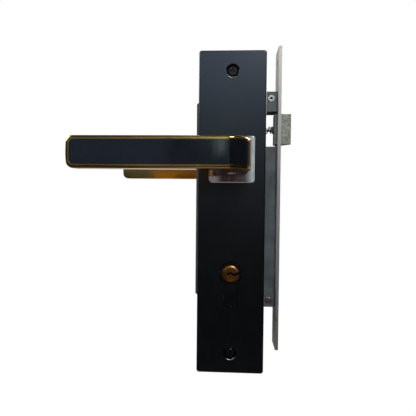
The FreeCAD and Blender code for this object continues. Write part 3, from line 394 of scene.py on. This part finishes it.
class Finish:
    """A material with its tree, its shader and its coordinates."""

    def __init__(self, name, **plain):
        self.material = bpy.data.materials.new(name)
        self.material.use_nodes = True
        self.tree = self.material.node_tree
        self.shader = self.tree.nodes["Principled BSDF"]
        for label, value in plain.items():
            self.shader.inputs[label.replace("_", " ")].default_value = value
        self.place = add_node(self.tree, "ShaderNodeTexCoord").outputs["Object"]

    def edge(self):
        """How far a face belongs to a softened edge; a value of 2 marks a painted highlight."""
        return add_node(self.tree, "ShaderNodeAttribute", attribute_name="edge").outputs["Fac"]

    def mapped(self, **inputs):
        return add_node(self.tree, "ShaderNodeMapping", {"Vector": self.place, **inputs}).outputs["Vector"]

    def effect(self, name, **inputs):
        """The outputs of an effect's group, at this material's place unless a Vector is given."""
        if name not in GROUPS:
            GROUPS[name] = GROUP_MAKERS[name]()
        return add_node(self.tree, "ShaderNodeGroup", {"Vector": self.place, **inputs},
                        node_tree=GROUPS[name]).outputs

    def feed(self, label, socket):
        self.tree.links.new(socket, self.shader.inputs[label])

    def bump(self, height, distance, strength=0.5):
        node = add_node(self.tree, "ShaderNodeBump", {"Height": height, "Distance": distance,
                                                      "Strength": strength})
        self.feed("Normal", node.outputs["Normal"])


def lacquer_finish(name, colour, roughness, grain, wear, scratched, gloss=0.5, marked=0.12, cloudy=0.2,
                   orange_peel=0.02):
    """Satin lacquer over metal: fine grain, rubbed edges, a few scratches, and a painted highlight of bare
    steel where the edge attribute marks one.
    """
    finish = Finish(name, Metallic=0.0, Specular_IOR_Level=gloss)
    tree = finish.tree
    fine = finish.effect("grain", Scale=grain)
    wear_and_highlight = finish.effect("wear", Edge=finish.edge(), Scale=420.0, Amount=wear)["Mask"]
    marks = finish.effect("scratches", Scale=45.0, Width=0.012, Amount=scratched)["Mask"]
    shade = mottled(tree, evened(tree, fine["Cloud"]), colour, 1.0 - cloudy, 1.0 + cloudy)
    faint = maths(tree, "MULTIPLY", marks, marked)
    bare_or_highlight = maths(tree, "MAXIMUM", wear_and_highlight, faint)
    # Worn edges and scratches show bare steel, and so does the painted highlight on the bolt holes' lower
    # lips
    finish.feed("Base Color", blend_colours(tree, bare_or_highlight, shade, BARE_STEEL_OR_HIGHLIGHT))
    finish.feed("Metallic", maths(tree, "MULTIPLY", wear_and_highlight, 0.8))
    soft = evened(tree, fine["Cloud"], roughness - 0.012, roughness + 0.012)
    finish.feed("Roughness", maths(tree, "SUBTRACT", soft, maths(tree, "MULTIPLY", faint, 0.3)))
    finish.bump(fine["Value"], orange_peel * MM)
    return finish.material


def polished_finish(name, colour, roughness, smear, darkest):
    """Bright plating with faint polishing marks, handling smears and, where asked, darker stretches."""
    finish = Finish(name, Metallic=1.0)
    tree = finish.tree
    fine = finish.effect("grain", Scale=900.0)
    marks = finish.effect("scratches", Scale=70.0, Width=0.01, Amount=0.46)["Mask"]
    stretches = finish.effect("grain", Vector=finish.mapped(Scale=(1.0, 3.0, 5.0)), Scale=55.0)
    patina = stretch(tree, stretches["Value"], 0.40, 0.60, darkest, 1.0)
    shade = mottled(tree, fine["Cloud"], colour, 0.93, 1.05)
    finish.feed("Base Color", blend_colours(tree, patina, TARNISH, shade))
    smeared = stretch(tree, fine["Cloud"], 0.35, 0.7, roughness, roughness + smear)
    finish.feed("Roughness", maths(tree, "ADD", smeared, maths(tree, "MULTIPLY", marks, 0.12)))
    finish.bump(marks, -0.004 * MM, 0.6)
    return finish.material


def brushed_finish(name, colour, roughness, spread, wear):
    """Steel brushed along Z, with dull patches."""
    finish = Finish(name, Metallic=1.0)
    tree = finish.tree
    lines = finish.effect("brushed", Vector=finish.mapped(Scale=spread), Scale=1.0, Contrast=0.3)["Lines"]
    wear_and_highlight = finish.effect("wear", Edge=1.0, Scale=90.0, Amount=wear)["Mask"]
    shade = mottled(tree, lines, colour, 0.82, 1.1)
    finish.feed("Base Color", blend_colours(tree, wear_and_highlight, shade, scaled(colour, 0.8)))
    finish.feed("Roughness", stretch(tree, lines, 0.0, 1.0, roughness, roughness + 0.15))
    finish.bump(lines, 0.01 * MM)
    return finish.material


def cast_finish(name, colour):
    """A tumbled casting: mottled, slightly pitted, with rubbed edges."""
    finish = Finish(name)
    tree = finish.tree
    fine = finish.effect("grain", Scale=1400.0, Roughness=0.7)["Value"]
    pits = finish.effect("grain", Scale=520.0, Roughness=0.8)["Value"]
    wear_and_highlight = finish.effect("wear", Edge=finish.edge(), Scale=500.0, Amount=0.55)["Mask"]
    shade = mottled(tree, stretch(tree, pits, 0.35, 0.65), colour, 0.5, 1.4)
    finish.feed("Base Color", blend_colours(tree, wear_and_highlight, shade, scaled(colour, 0.75)))
    finish.feed("Metallic", stretch(tree, wear_and_highlight, 0.0, 1.0, 0.7, 1.0))
    dull = evened(tree, fine, 0.42, 0.62)
    finish.feed("Roughness", maths(tree, "SUBTRACT", dull, maths(tree, "MULTIPLY", wear_and_highlight, 0.25)))
    finish.bump(pits, 0.09 * MM)
    return finish.material


def turned_finish(name, colour, axis_place, face, pitch, roughness):
    """Turned brass with rings about the plug's axis, and painted shade that darkens it down in the keyway.
    """
    finish = Finish(name)
    tree = finish.tree
    rings = finish.effect("turned", Vector=finish.mapped(Location=-axis_place), Pitch=pitch)["Rings"]
    # Painted shade: deeper behind the plug's face the brass turns near black and loses its metal, standing
    # in for the keyway's shadow
    inwards = maths(tree, "ABSOLUTE", axis_of(tree, finish.place, "Y"))
    painted_shade = stretch(tree, inwards, face - PAINTED_SHADE_FROM, face - PAINTED_SHADE_TO)
    shade = mottled(tree, rings, colour, 0.75, 1.2)
    finish.feed("Base Color", blend_colours(tree, painted_shade, shade, PAINTED_SHADE_COLOUR))
    finish.feed("Metallic", stretch(tree, painted_shade, 0.0, 1.0, 1.0, 0.0))
    finish.feed("Roughness", evened(tree, rings, roughness, roughness + 0.12))
    finish.bump(rings, 0.07 * MM, 0.8)
    return finish.material


def even_finish(name, colour, grain, shades, roughness, depth, strength=0.5, below=None, **plain):
    """An even, slightly cloudy finish, with another colour on what lies below the origin where asked."""
    finish = Finish(name, **plain)
    tree = finish.tree
    fine = finish.effect("grain", Scale=grain)
    shade = mottled(tree, fine["Cloud"], colour, *shades)
    if below is not None:
        low = maths(tree, "LESS_THAN", axis_of(tree, finish.place, "Z"), 0.0)
        shade = blend_colours(tree, low, shade, below)
    finish.feed("Base Color", shade)
    finish.feed("Roughness", evened(tree, fine["Value"], *roughness))
    finish.bump(fine["Value"], depth * MM, strength)
    return finish.material


def make_finishes():
    """Every finish by its slot in the record."""
    shades = colours()
    return {
        "plate_black": lacquer_finish("plate lacquer", shades.plate, roughness=0.30, grain=2200.0,
                                      wear=0.42, scratched=0.24, gloss=1.0),
        "lever_gold": polished_finish("lever gold", shades.gold, roughness=0.10, smear=0.10, darkest=0.80),
        "inlay_black": lacquer_finish("inlay lacquer", shades.inlay, roughness=0.10, grain=2600.0,
                                      wear=0.3, scratched=0.25, gloss=1.0, orange_peel=0.006),
        "rose_chrome": polished_finish("rose chrome", shades.chrome, roughness=0.04, smear=0.05,
                                       darkest=1.0),
        "nylon_white": even_finish("bush nylon", shades.nylon, 1200.0, (0.9, 1.05), (0.4, 0.52), 0.01, 0.4,
                                   Metallic=0.0, Subsurface_Weight=0.1, Subsurface_Scale=0.001),
        "spring_steel": even_finish("spring steel", scaled(shades.plating, 0.8), 1800.0, (0.8, 1.15),
                                    (0.22, 0.36), 0.008, Metallic=1.0),
        "zinc_plated": even_finish("zinc plating", shades.plating, 1800.0, (0.8, 1.15), (0.28, 0.42),
                                   0.008, Metallic=1.0),
        "case_grey": lacquer_finish("case lacquer", shades.case, roughness=0.45, grain=1500.0, wear=0.5,
                                    scratched=0.50, marked=0.35, cloudy=0.3),
        "forend_steel": brushed_finish("forend steel", shades.forend, roughness=0.50,
                                       spread=(2500.0, 2500.0, 60.0), wear=0.38),
        "latch_zinc": cast_finish("cast zinc", shades.zinc),
        "bolt_black": lacquer_finish("bolt black", shades.cylinder, roughness=0.35, grain=2400.0,
                                     wear=0.45, scratched=0.3),
        "rivet_bright": even_finish("rivet metal", shades.rivet, 1500.0, (0.85, 1.1), (0.30, 0.46), 0.01,
                                    below=shades.copper, Metallic=1.0),
        "cylinder_black": lacquer_finish("cylinder black", shades.cylinder, roughness=0.25, grain=2600.0,
                                         wear=0.35, scratched=0.3),
        "plug_brass": turned_finish("plug brass", shades.brass, Vector((SPINDLE_X, 0.0, CYLINDER_Z)),
                                    -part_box("front_plug")[0].y, pitch=0.25 * MM, roughness=0.24),
    }


SLOT_OF_NODE = {part["node"]: part["material_slot"] for part in frame["record"]["subparts"]}
BODY_OF_NODE = {node: body for body, nodes in frame["record"]["behaviour"]["bodies"].items()
                for node in nodes}
FINISHES = {}


def finish_for(node):
    if not FINISHES:
        FINISHES.update(make_finishes())
    return FINISHES[SLOT_OF_NODE[node]]


def paint(node, mesh):
    """Give a node's mesh, or one made in its place, the node's finish alone."""
    mesh.materials.clear()
    mesh.materials.append(finish_for(node))
    return mesh


def keep_mesh(name, mesh, body):
    """A finished mesh as a piece that rides on a body."""
    piece = linked(name, mesh)
    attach(piece, body)
    return piece


def evaluated(holder):
    """The plain mesh that an object's modifiers make, without the object."""
    graph = bpy.context.evaluated_depsgraph_get()
    mesh = bpy.data.meshes.new_from_object(holder.evaluated_get(graph))
    bpy.data.objects.remove(holder)
    return mesh


def weighted_mesh(mesh):
    """The mesh with normals that keep its flats flat and its rounds round."""
    holder = linked("holder", mesh)
    weighing = holder.modifiers.new("weigh", "WEIGHTED_NORMAL")
    weighing.keep_sharp = True
    weighing.weight = NORMAL_WEIGHT
    return evaluated(holder)


def bevelled(work, edges, width, segments, clamped):
    """Soften these edges, and give the new faces."""
    return bmesh.ops.bevel(work, geom=edges, offset=width, offset_type="OFFSET", segments=segments,
                           profile=0.5, affect="EDGES", clamp_overlap=clamped)["faces"]


def folded(edge, degrees):
    return edge.is_manifold and edge.calc_face_angle(0.0) > math.radians(degrees)


def round_rims(work, edge_layer, centres, ring, face_y, width, bare_or_highlight=False, skipped=(0.0, 0.0, 0.0)):
    """Round the circles about these centres on one level face, with a painted highlight at each one's foot
    if asked.
    A band to the right of a place, given by X, Z and half its height, keeps its edges."""
    rims = []
    for edge in work.edges:
        reach = [min((vert.co.xz - centre).length for centre in centres) for vert in edge.verts]
        level = all(abs(vert.co.y - face_y) < FACE_TOLERANCE for vert in edge.verts)
        clear = all(abs(vert.co.z - skipped[1]) > skipped[2] or vert.co.x < skipped[0]
                    for vert in edge.verts)
        if level and clear and folded(edge, RIM_ANGLE) and min(reach) > ring[0] and max(reach) < ring[1]:
            rims.append(edge)
    for face in bevelled(work, rims, width, RIM_SEGMENTS, False):
        place = face.calc_center_median().xz
        nearest = min(centres, key=lambda centre: (place - centre).length)
        # Painted highlight: the faces at a rim's foot, which face up towards the light, are marked to show
        # as bare steel
        if bare_or_highlight and (place - nearest).normalized().y < FOOT_DIRECTION:
            face[edge_layer] = HIGHLIGHT_MARK


def softened(node, soft_edge, rims=None):
    """A merged copy of a node's mesh with its sharp edges softened and its normals weighted."""
    work = bmesh.new()
    work.from_mesh(frame["nodes"][node].data)
    bmesh.ops.remove_doubles(work, verts=work.verts, dist=MERGE_DISTANCE)
    bmesh.ops.dissolve_limit(work, angle_limit=math.radians(FLAT_ANGLE), verts=work.verts, edges=work.edges)
    edge_layer = work.faces.layers.float.new("edge")
    if rims:
        round_rims(work, edge_layer, **rims)
    sharp = [edge for edge in work.edges if folded(edge, SHARP_ANGLE)]
    for face in bevelled(work, sharp, soft_edge, EDGE_SEGMENTS, True):
        face[edge_layer] = 1.0
    for face in work.faces:
        face.smooth = True
    mesh = bpy.data.meshes.new(node + "_dressed")
    work.to_mesh(mesh)
    work.free()
    mesh.set_sharp_from_angle(angle=math.radians(SHARP_ANGLE))
    return paint(node, weighted_mesh(mesh))


def dress(node, soft_edge, rims=None):
    """A softened piece in place of a node, with the node's own finish."""
    piece = keep_mesh(node + ".dressed", softened(node, soft_edge, rims), BODY_OF_NODE[node])
    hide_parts(node)


def dress_all(nodes, soft_edge):
    """Dress these nodes alike, as an operator's last step."""
    for node in nodes:
        dress(node, soft_edge)
    return {"FINISHED"}


def both(name):
    return ("front_" + name, "rear_" + name)


class LOCKSET_OT_plates(bpy.types.Operator):
    """Dress the two handle plates"""
    bl_idname = "lockset.plates"
    bl_label = "Handle plates"

    def execute(self, context):
        low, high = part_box("plate_bolts")
        head = (high.x - low.x) / 2
        centres = [Vector((SPINDLE_X, low.z + head)), Vector((SPINDLE_X, high.z - head))]
        # The front plate's bolt holes get rounded lips, with a painted highlight on each lower lip
        dress("front_plate", sizes().plate_edge,
              {"centres": centres, "ring": [share * head for share in BOLT_RIM],
               "face_y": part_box("front_plate")[0].y, "width": sizes().hole_lip, "bare_or_highlight": True})
        return dress_all(("rear_plate",), sizes().plate_edge)


class LOCKSET_OT_roses(bpy.types.Operator):
    """Dress the chrome roses and their nylon bushes"""
    bl_idname = "lockset.roses"
    bl_label = "Roses and bushes"

    def execute(self, context):
        return dress_all(both("rose") + both("bush"), sizes().metal_edge)


class LOCKSET_OT_levers(bpy.types.Operator):
    """Dress the levers, their inlays and their grub screws"""
    bl_idname = "lockset.levers"
    bl_label = "Levers"

    def execute(self, context):
        return dress_all(both("lever") + both("lever_inlay") + both("grub_screw"), sizes().lever_edge)


class LOCKSET_OT_case(bpy.types.Operator):
    """Dress the lock case, its cover and its rivets"""
    bl_idname = "lockset.case"
    bl_label = "Lock case"

    def execute(self, context):
        return dress_all(("lock_case", "case_cover", "case_rivets"), sizes().metal_edge)


class LOCKSET_OT_forend(bpy.types.Operator):
    """Dress the forend, its rivets and the cylinder's fixing screw"""
    bl_idname = "lockset.forend"
    bl_label = "Forend"

    def execute(self, context):
        return dress_all(("forend", "forend_rivets", "fixing_screw"), sizes().metal_edge)


class LOCKSET_OT_latch(bpy.types.Operator):
    """Dress the latch head, its rod, hook and guide"""
    bl_idname = "lockset.latch"
    bl_label = "Spring latch"

    def execute(self, context):
        dress("latch_head", sizes().cast_edge)
        return dress_all(("latch_rod", "latch_hook", "latch_guide"), sizes().metal_edge)


class LOCKSET_OT_deadbolt(bpy.types.Operator):
    """Dress the deadbolt, its tail and the tumbler"""
    bl_idname = "lockset.deadbolt"
    bl_label = "Deadbolt"

    def execute(self, context):
        paint("deadbolt_pins", frame["nodes"]["deadbolt_pins"].data)
        return dress_all(("deadbolt_head", "deadbolt_tail", "tumbler"), sizes().metal_edge)


class LOCKSET_OT_cylinder(bpy.types.Operator):
    """Dress the key cylinder and its plugs"""
    bl_idname = "lockset.cylinder"
    bl_label = "Key cylinder"

    def execute(self, context):
        for node, side in (("front_plug", 0), ("rear_plug", 1)):
            low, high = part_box(node)
            rim = (high.x - low.x) / 2
            dress(node, sizes().metal_edge,
                  {"centres": [Vector((SPINDLE_X, CYLINDER_Z))], "ring": [share * rim for share in PLUG_RIM],
                   "face_y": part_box(node)[side].y, "width": sizes().plug_dome,
                   "skipped": (SPINDLE_X, CYLINDER_Z, rim * KEYWAY_BAND)})
        for node in (*both("plug_clip"), *both("key_pins"), "driver_pins", "pin_springs", "chamber_plugs",
                     "cam_coupling"):
            paint(node, frame["nodes"][node].data)
        return dress_all(("cylinder_body", "cam"), sizes().metal_edge)


class LOCKSET_OT_spindle(bpy.types.Operator):
    """Dress the spindle, the follower, the spring drivers and the circlips"""
    bl_idname = "lockset.spindle"
    bl_label = "Spindle and drivers"

    def execute(self, context):
        return dress_all(("spindle", "follower") + both("spring_driver") + both("circlip"),
                         sizes().metal_edge)


def swept(tree, path, radius, sides):
    """A round section carried along a path, closed at both ends."""
    section = add_node(tree, "GeometryNodeCurvePrimitiveCircle", {"Resolution": sides, "Radius": radius})
    tube = add_node(tree, "GeometryNodeCurveToMesh", {"Curve": path, "Fill Caps": True,
                                                      "Profile Curve": section.outputs["Curve"]})
    return tube.outputs["Mesh"]


def helix(tree, given, windings, height, points):
    """A curve of one radius about Z."""
    node = add_node(tree, "GeometryNodeCurveSpiral", {"Resolution": points, "Rotations": windings,
                                                      "Start Radius": given["Radius"],
                                                      "End Radius": given["Radius"], "Height": height})
    return node.outputs["Curve"]


def geometry_tree(name, inputs):
    return grouped_tree(name, "GeometryNodeTree", dict.fromkeys(inputs, 0.0), {"Geometry": None})


def ended(tree, geometry, material, out):
    """A geometry tree that ends by realizing what it made and giving it its material."""
    whole = add_node(tree, "GeometryNodeRealizeInstances", {"Geometry": geometry})
    coated = add_node(tree, "GeometryNodeSetMaterial", {"Geometry": whole.outputs["Geometry"],
                                                        "Material": material})
    tree.links.new(coated.outputs["Geometry"], out["Geometry"])
    return tree


def grown_mesh(name, tree, values):
    """The plain mesh that a geometry node tree makes with these values."""
    holder = linked(name, bpy.data.meshes.new(name))
    modifier = holder.modifiers.new(name, "NODES")
    modifier.node_group = tree
    for socket in tree.interface.items_tree:
        if socket.in_out == "INPUT":
            modifier[socket.identifier] = values[socket.name]
    return evaluated(holder)


def coil_tree(material):
    """A compression spring with closed end turns, wound along Z."""
    tree, given, out = geometry_tree("Coil spring", ("Radius", "Wire", "Length", "Turns"))
    share = add_node(tree, "GeometryNodeSplineParameter").outputs["Factor"]
    end_turn = maths(tree, "DIVIDE", 1.0, given["Turns"])
    last_turn = maths(tree, "SUBTRACT", 1.0, end_turn)
    wire_share = maths(tree, "DIVIDE", given["Wire"], given["Length"])
    free = maths(tree, "SUBTRACT", 1.0, maths(tree, "MULTIPLY", wire_share, 2.0))
    first = stretch(tree, share, 0.0, end_turn, 0.0, wire_share)
    middle = stretch(tree, share, end_turn, last_turn, 0.0, free)
    last = stretch(tree, share, last_turn, 1.0, 0.0, wire_share)
    rise = maths(tree, "ADD", maths(tree, "ADD", first, middle), last)
    lift = add_node(tree, "ShaderNodeCombineXYZ", {"Z": maths(tree, "MULTIPLY", rise, given["Length"])})
    raised = add_node(tree, "GeometryNodeSetPosition",
                      {"Geometry": helix(tree, given, given["Turns"], 0.0, COIL_POINTS),
                       "Offset": lift.outputs["Vector"]})
    tube = swept(tree, raised.outputs["Geometry"], maths(tree, "DIVIDE", given["Wire"], 2.0), WIRE_SIDES)
    smooth = add_node(tree, "GeometryNodeSetShadeSmooth", {"Geometry": tube})
    return ended(tree, smooth.outputs["Geometry"], material, out)


def wound_spring(node, name, radius, wire, windings, start, reach, turn=None):
    """Wind a coil in place of a spring's node, from a place over a reach along Z, or turned from there."""
    if "coil" not in GROUPS:
        GROUPS["coil"] = coil_tree(finish_for(node))
    mesh = grown_mesh(name, GROUPS["coil"], {"Radius": radius, "Wire": wire, "Length": reach - wire,
                                             "Turns": float(windings)})
    mesh.transform(Matrix.Translation((0.0, 0.0, wire / 2)))
    if turn:
        mesh.transform(turn)
    mesh.transform(Matrix.Translation(start))
    piece = keep_mesh(name, mesh, BODY_OF_NODE[node])
    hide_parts(node)
    return piece


def twisted_spring(node):
    """A softened copy of a handle spring in place of its node."""
    piece = linked(node + ".dressed", softened(node, sizes().metal_edge))
    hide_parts(node)
    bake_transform(piece)


class LOCKSET_OT_latch_spring(bpy.types.Operator):
    """Wind the latch spring that shows in the case's window"""
    bl_idname = "lockset.latch_spring"
    bl_label = "Latch spring"

    def execute(self, context):
        values = sizes()
        low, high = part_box("latch_spring")
        piece = wound_spring("latch_spring", "latch_coil", values.spring_radius, values.spring_wire,
                             values.spring_turns, (low.x, 0.0, LATCH_Z), high.x - low.x, ALONG_X)
        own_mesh(piece)
        return {"FINISHED"}


class LOCKSET_OT_inner_springs(bpy.types.Operator):
    """Wind the springs of the follower and the tumbler, and soften the handle springs"""
    bl_idname = "lockset.inner_springs"
    bl_label = "Inner springs"

    def execute(self, context):
        values = sizes()
        low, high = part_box("follower_spring")
        middle = (low + high) / 2
        piece = wound_spring("follower_spring", "follower_coil", (high.z - low.z - values.spring_wire) / 2,
                             values.spring_wire, values.follower_turns, (low.x, middle.y, middle.z),
                             high.x - low.x, ALONG_X)
        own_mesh(piece)
        low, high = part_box("tumbler_spring")
        middle = (low + high) / 2
        piece = wound_spring("tumbler_spring", "tumbler_coil", (high.x - low.x - values.tumbler_wire) / 2,
                             values.tumbler_wire, values.tumbler_turns, (middle.x, middle.y, low.z),
                             high.z - low.z)
        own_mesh(piece)
        for node in both("handle_spring"):
            twisted_spring(node)
        return {"FINISHED"}


def thread_tree(material):
    """Screw threads wound along Z, one at each of two places in a row."""
    tree, given, out = geometry_tree("Screw threads", ("Radius", "Pitch", "Depth", "Length", "Spacing"))
    windings = maths(tree, "DIVIDE", given["Length"], given["Pitch"])
    path = helix(tree, given, windings, given["Length"], THREAD_POINTS)
    step = add_node(tree, "ShaderNodeCombineXYZ", {"X": given["Spacing"]})
    row = add_node(tree, "GeometryNodeMeshLine", {"Count": 2, "Offset": step.outputs["Vector"]})
    placed = add_node(tree, "GeometryNodeInstanceOnPoints",
                      {"Points": row.outputs["Mesh"],
                       "Instance": swept(tree, path, given["Depth"], RIDGE_SIDES)})
    return ended(tree, placed.outputs["Instances"], material, out)


class LOCKSET_OT_through_bolts(bpy.types.Operator):
    """Dress the through bolts and their sleeves, and cut the bolts' threads"""
    bl_idname = "lockset.through_bolts"
    bl_label = "Through bolts"

    def execute(self, context):
        values = sizes()
        low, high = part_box("bolt_sleeves")
        sleeve_radius = (high.x - low.x) / 2
        mesh = grown_mesh("bolt thread", thread_tree(finish_for("plate_bolts")),
                          {"Radius": values.shank_radius - values.thread_depth * THREAD_SUNK,
                           "Pitch": values.thread_pitch, "Depth": values.thread_depth,
                           "Length": values.thread_length,
                           "Spacing": high.z - low.z - 2 * sleeve_radius})
        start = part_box("plate_bolts")[1].y - values.thread_length - values.shank_radius / 2
        mesh.transform(ALONG_Y)
        mesh.transform(Matrix.Translation((SPINDLE_X, start, low.z + sleeve_radius)))
        keep_mesh("bolt_threads", mesh, "lock")
        return dress_all(("plate_bolts", "bolt_sleeves"), values.metal_edge)


def stage_plane(name, width, depth, matrix, material, shown=True):
    """A flat sheet of the studio."""
    work = bmesh.new()
    bmesh.ops.create_grid(work, x_segments=1, y_segments=1, size=0.5)
    bmesh.ops.scale(work, verts=work.verts, vec=(width, depth, 1.0))
    mesh = bpy.data.meshes.new(name)
    work.to_mesh(mesh)
    work.free()
    mesh.transform(matrix)
    mesh.materials.append(material)
    sheet = linked(name, mesh)
    sheet.visible_camera = shown
    return sheet


def white_to_camera(tree, lit, white_kind):
    """What is lit, as every ray but the camera's sees it, and plain white for the camera."""
    white = add_node(tree, white_kind, {"Color": WHITE, "Strength": 1.0})
    seen = add_node(tree, "ShaderNodeLightPath").outputs["Is Camera Ray"]
    return add_node(tree, "ShaderNodeMixShader", {0: seen, 1: lit, 2: white.outputs[0]}).outputs[0]


def surfaced(material, shader):
    material.node_tree.links.new(shader, material.node_tree.nodes["Material Output"].inputs["Surface"])
    return material


def floor_finish(colour):
    """A pale floor that runs into the white of the room where the camera sees it."""
    finish = Finish("studio floor", Base_Color=colour, Roughness=0.9)
    return surfaced(finish.material,
                    white_to_camera(finish.tree, finish.shader.outputs[0], "ShaderNodeEmission"))


def card_finish(name, colour):
    """A card that shows only in reflections."""
    finish = Finish(name)
    finish.tree.nodes.remove(finish.shader)
    glow = add_node(finish.tree, "ShaderNodeEmission", {"Color": (*colour, 1.0), "Strength": 1.0})
    return surfaced(finish.material, glow.outputs[0])


def reflected_card(name, low, high, colour):
    """An upright card before the lockset, between two corners given by X and Z."""
    middle = ((low[0] + high[0]) / 2, CARD_Y, (low[1] + high[1]) / 2)
    upright = Matrix.Translation(middle) @ Matrix.Rotation(math.radians(90.0), 4, "X")
    stage_plane(name, high[0] - low[0], high[1] - low[1], upright, card_finish(name, colour), False)


def area_light(name, place, width, height, watts):
    """A softbox that faces the middle of the lockset."""
    data = bpy.data.lights.new(name, "AREA")
    data.shape = "RECTANGLE"
    data.size = width
    data.size_y = height
    data.energy = watts
    lamp = linked(name, data)
    look = (Vector((SPINDLE_X, 0.0, 0.0)) - Vector(place)).to_track_quat("-Z", "Y")
    lamp.matrix_world = Matrix.Translation(place) @ look.to_matrix().to_4x4()
    lamp.visible_camera = False


def brightness_ramp(tree, height, stops):
    """The room's brightness by the sine of the height that a ray looks at."""
    ramp = add_node(tree, "ShaderNodeValToRGB", {"Fac": stretch(tree, height, -1.0, 1.0)})
    marks = ramp.color_ramp.elements
    while len(marks) < len(stops):
        marks.new(0.5)
    for mark, (sine, _) in zip(marks, stops):
        mark.position = (sine + 1.0) / 2
    for mark, (_, colour) in zip(sorted(marks, key=lambda entry: entry.position), stops):
        mark.color = (*colour, 1.0)
    return ramp.outputs["Color"]


def room_light(strength):
    """A dim room, brighter low behind the lockset and high before it, white where the camera sees it."""
    world = bpy.data.worlds.new("room")
    bpy.context.scene.world = world
    world.use_nodes = True
    tree = world.node_tree
    tree.nodes.clear()
    place = add_node(tree, "ShaderNodeTexCoord").outputs["Generated"]
    height = axis_of(tree, place, "Z")
    side = stretch(tree, axis_of(tree, place, "Y"), BEHIND_FROM, BEHIND_TO)
    aside = maths(tree, "ABSOLUTE", axis_of(tree, place, "X"))
    middle = stretch(tree, aside, AHEAD_TO, SIDE_FROM, 1.0, SIDE_LIGHT)
    before = blend_colours(tree, middle, BLACK, brightness_ramp(tree, height, BEFORE_STOPS))
    sky = blend_colours(tree, side, before, brightness_ramp(tree, height, BEHIND_STOPS))
    lit = add_node(tree, "ShaderNodeBackground", {"Color": sky, "Strength": strength})
    mixed = white_to_camera(tree, lit.outputs[0], "ShaderNodeBackground")
    add_node(tree, "ShaderNodeOutputWorld", {"Surface": mixed})


def add_camera():
    """The camera of the photograph."""
    values = stage_values()
    tilt = Matrix.Rotation(values.camera_tilt, 3, "X")
    pan = Matrix.Rotation(values.camera_pan, 3, "Y")
    roll = Matrix.Rotation(values.camera_roll, 3, "Z")
    to_lens = Matrix(((1, 0, 0), (0, 0, -1), (0, 1, 0)))
    right, down, ahead = roll @ tilt @ pan @ to_lens
    data = bpy.data.cameras.new("camera")
    data.sensor_width = SENSOR_WIDTH
    data.lens = values.camera_lens
    data.clip_start = 0.01
    data.clip_end = 20.0
    camera = linked("camera", data)
    placed = Matrix((right, -down, -ahead)).transposed().to_4x4()
    camera.matrix_world = Matrix.Translation(values.camera_place) @ placed
    bpy.context.scene.camera = camera


class LOCKSET_OT_stage(bpy.types.Operator):
    """Set the camera, the pale floor and the studio's light"""
    bl_idname = "lockset.stage"
    bl_label = "Studio"

    def execute(self, context):
        values = stage_values()
        add_camera()
        room_light(values.world_light)
        floor_place = Matrix.Translation((0.0, 0.0, CAD_LOW.z - values.floor_drop))
        floor = stage_plane("floor", FLOOR_SIDE, FLOOR_SIDE, floor_place, floor_finish(colours().floor))
        floor.visible_glossy = False
        for card in REFLECTED_CARDS:
            reflected_card(*card)
        for softbox in SOFTBOXES:
            area_light(*softbox)
        context.scene.view_settings.view_transform = "Standard"
        return {"FINISHED"}


class LOCKSET_PT_panel(bpy.types.Panel):
    """The lockset's operators and values"""
    bl_idname = "LOCKSET_PT_panel"
    bl_label = "Lockset"
    bl_space_type = "VIEW_3D"
    bl_region_type = "UI"
    bl_category = "Lockset"

    def draw(self, context):
        for operator in OPERATORS:
            self.layout.operator(operator.bl_idname)
        for group in (sizes(), colours(), stage_values()):
            box = self.layout.box()
            for name in group.__annotations__:
                box.prop(group, name)


OPERATORS = (LOCKSET_OT_stage, LOCKSET_OT_plates, LOCKSET_OT_roses, LOCKSET_OT_levers,
             LOCKSET_OT_through_bolts, LOCKSET_OT_case, LOCKSET_OT_forend, LOCKSET_OT_latch,
             LOCKSET_OT_latch_spring, LOCKSET_OT_inner_springs, LOCKSET_OT_deadbolt, LOCKSET_OT_cylinder,
             LOCKSET_OT_spindle)
CLASSES = (LocksetSizes, LocksetColours, LocksetStage) + OPERATORS + (LOCKSET_PT_panel,)


def register():
    for group in CLASSES:
        bpy.utils.register_class(group)
    bpy.types.Scene.lockset_sizes = PointerProperty(type=LocksetSizes)
    bpy.types.Scene.lockset_colours = PointerProperty(type=LocksetColours)
    bpy.types.Scene.lockset_stage = PointerProperty(type=LocksetStage)


def unregister():
    del bpy.types.Scene.lockset_stage
    del bpy.types.Scene.lockset_colours
    del bpy.types.Scene.lockset_sizes
    for group in reversed(CLASSES):
        bpy.utils.unregister_class(group)


def main():
    register()
    for operator in OPERATORS:
        group, name = operator.bl_idname.split(".")
        getattr(getattr(bpy.ops, group), name)()


if __name__ == "__main__":
    main()
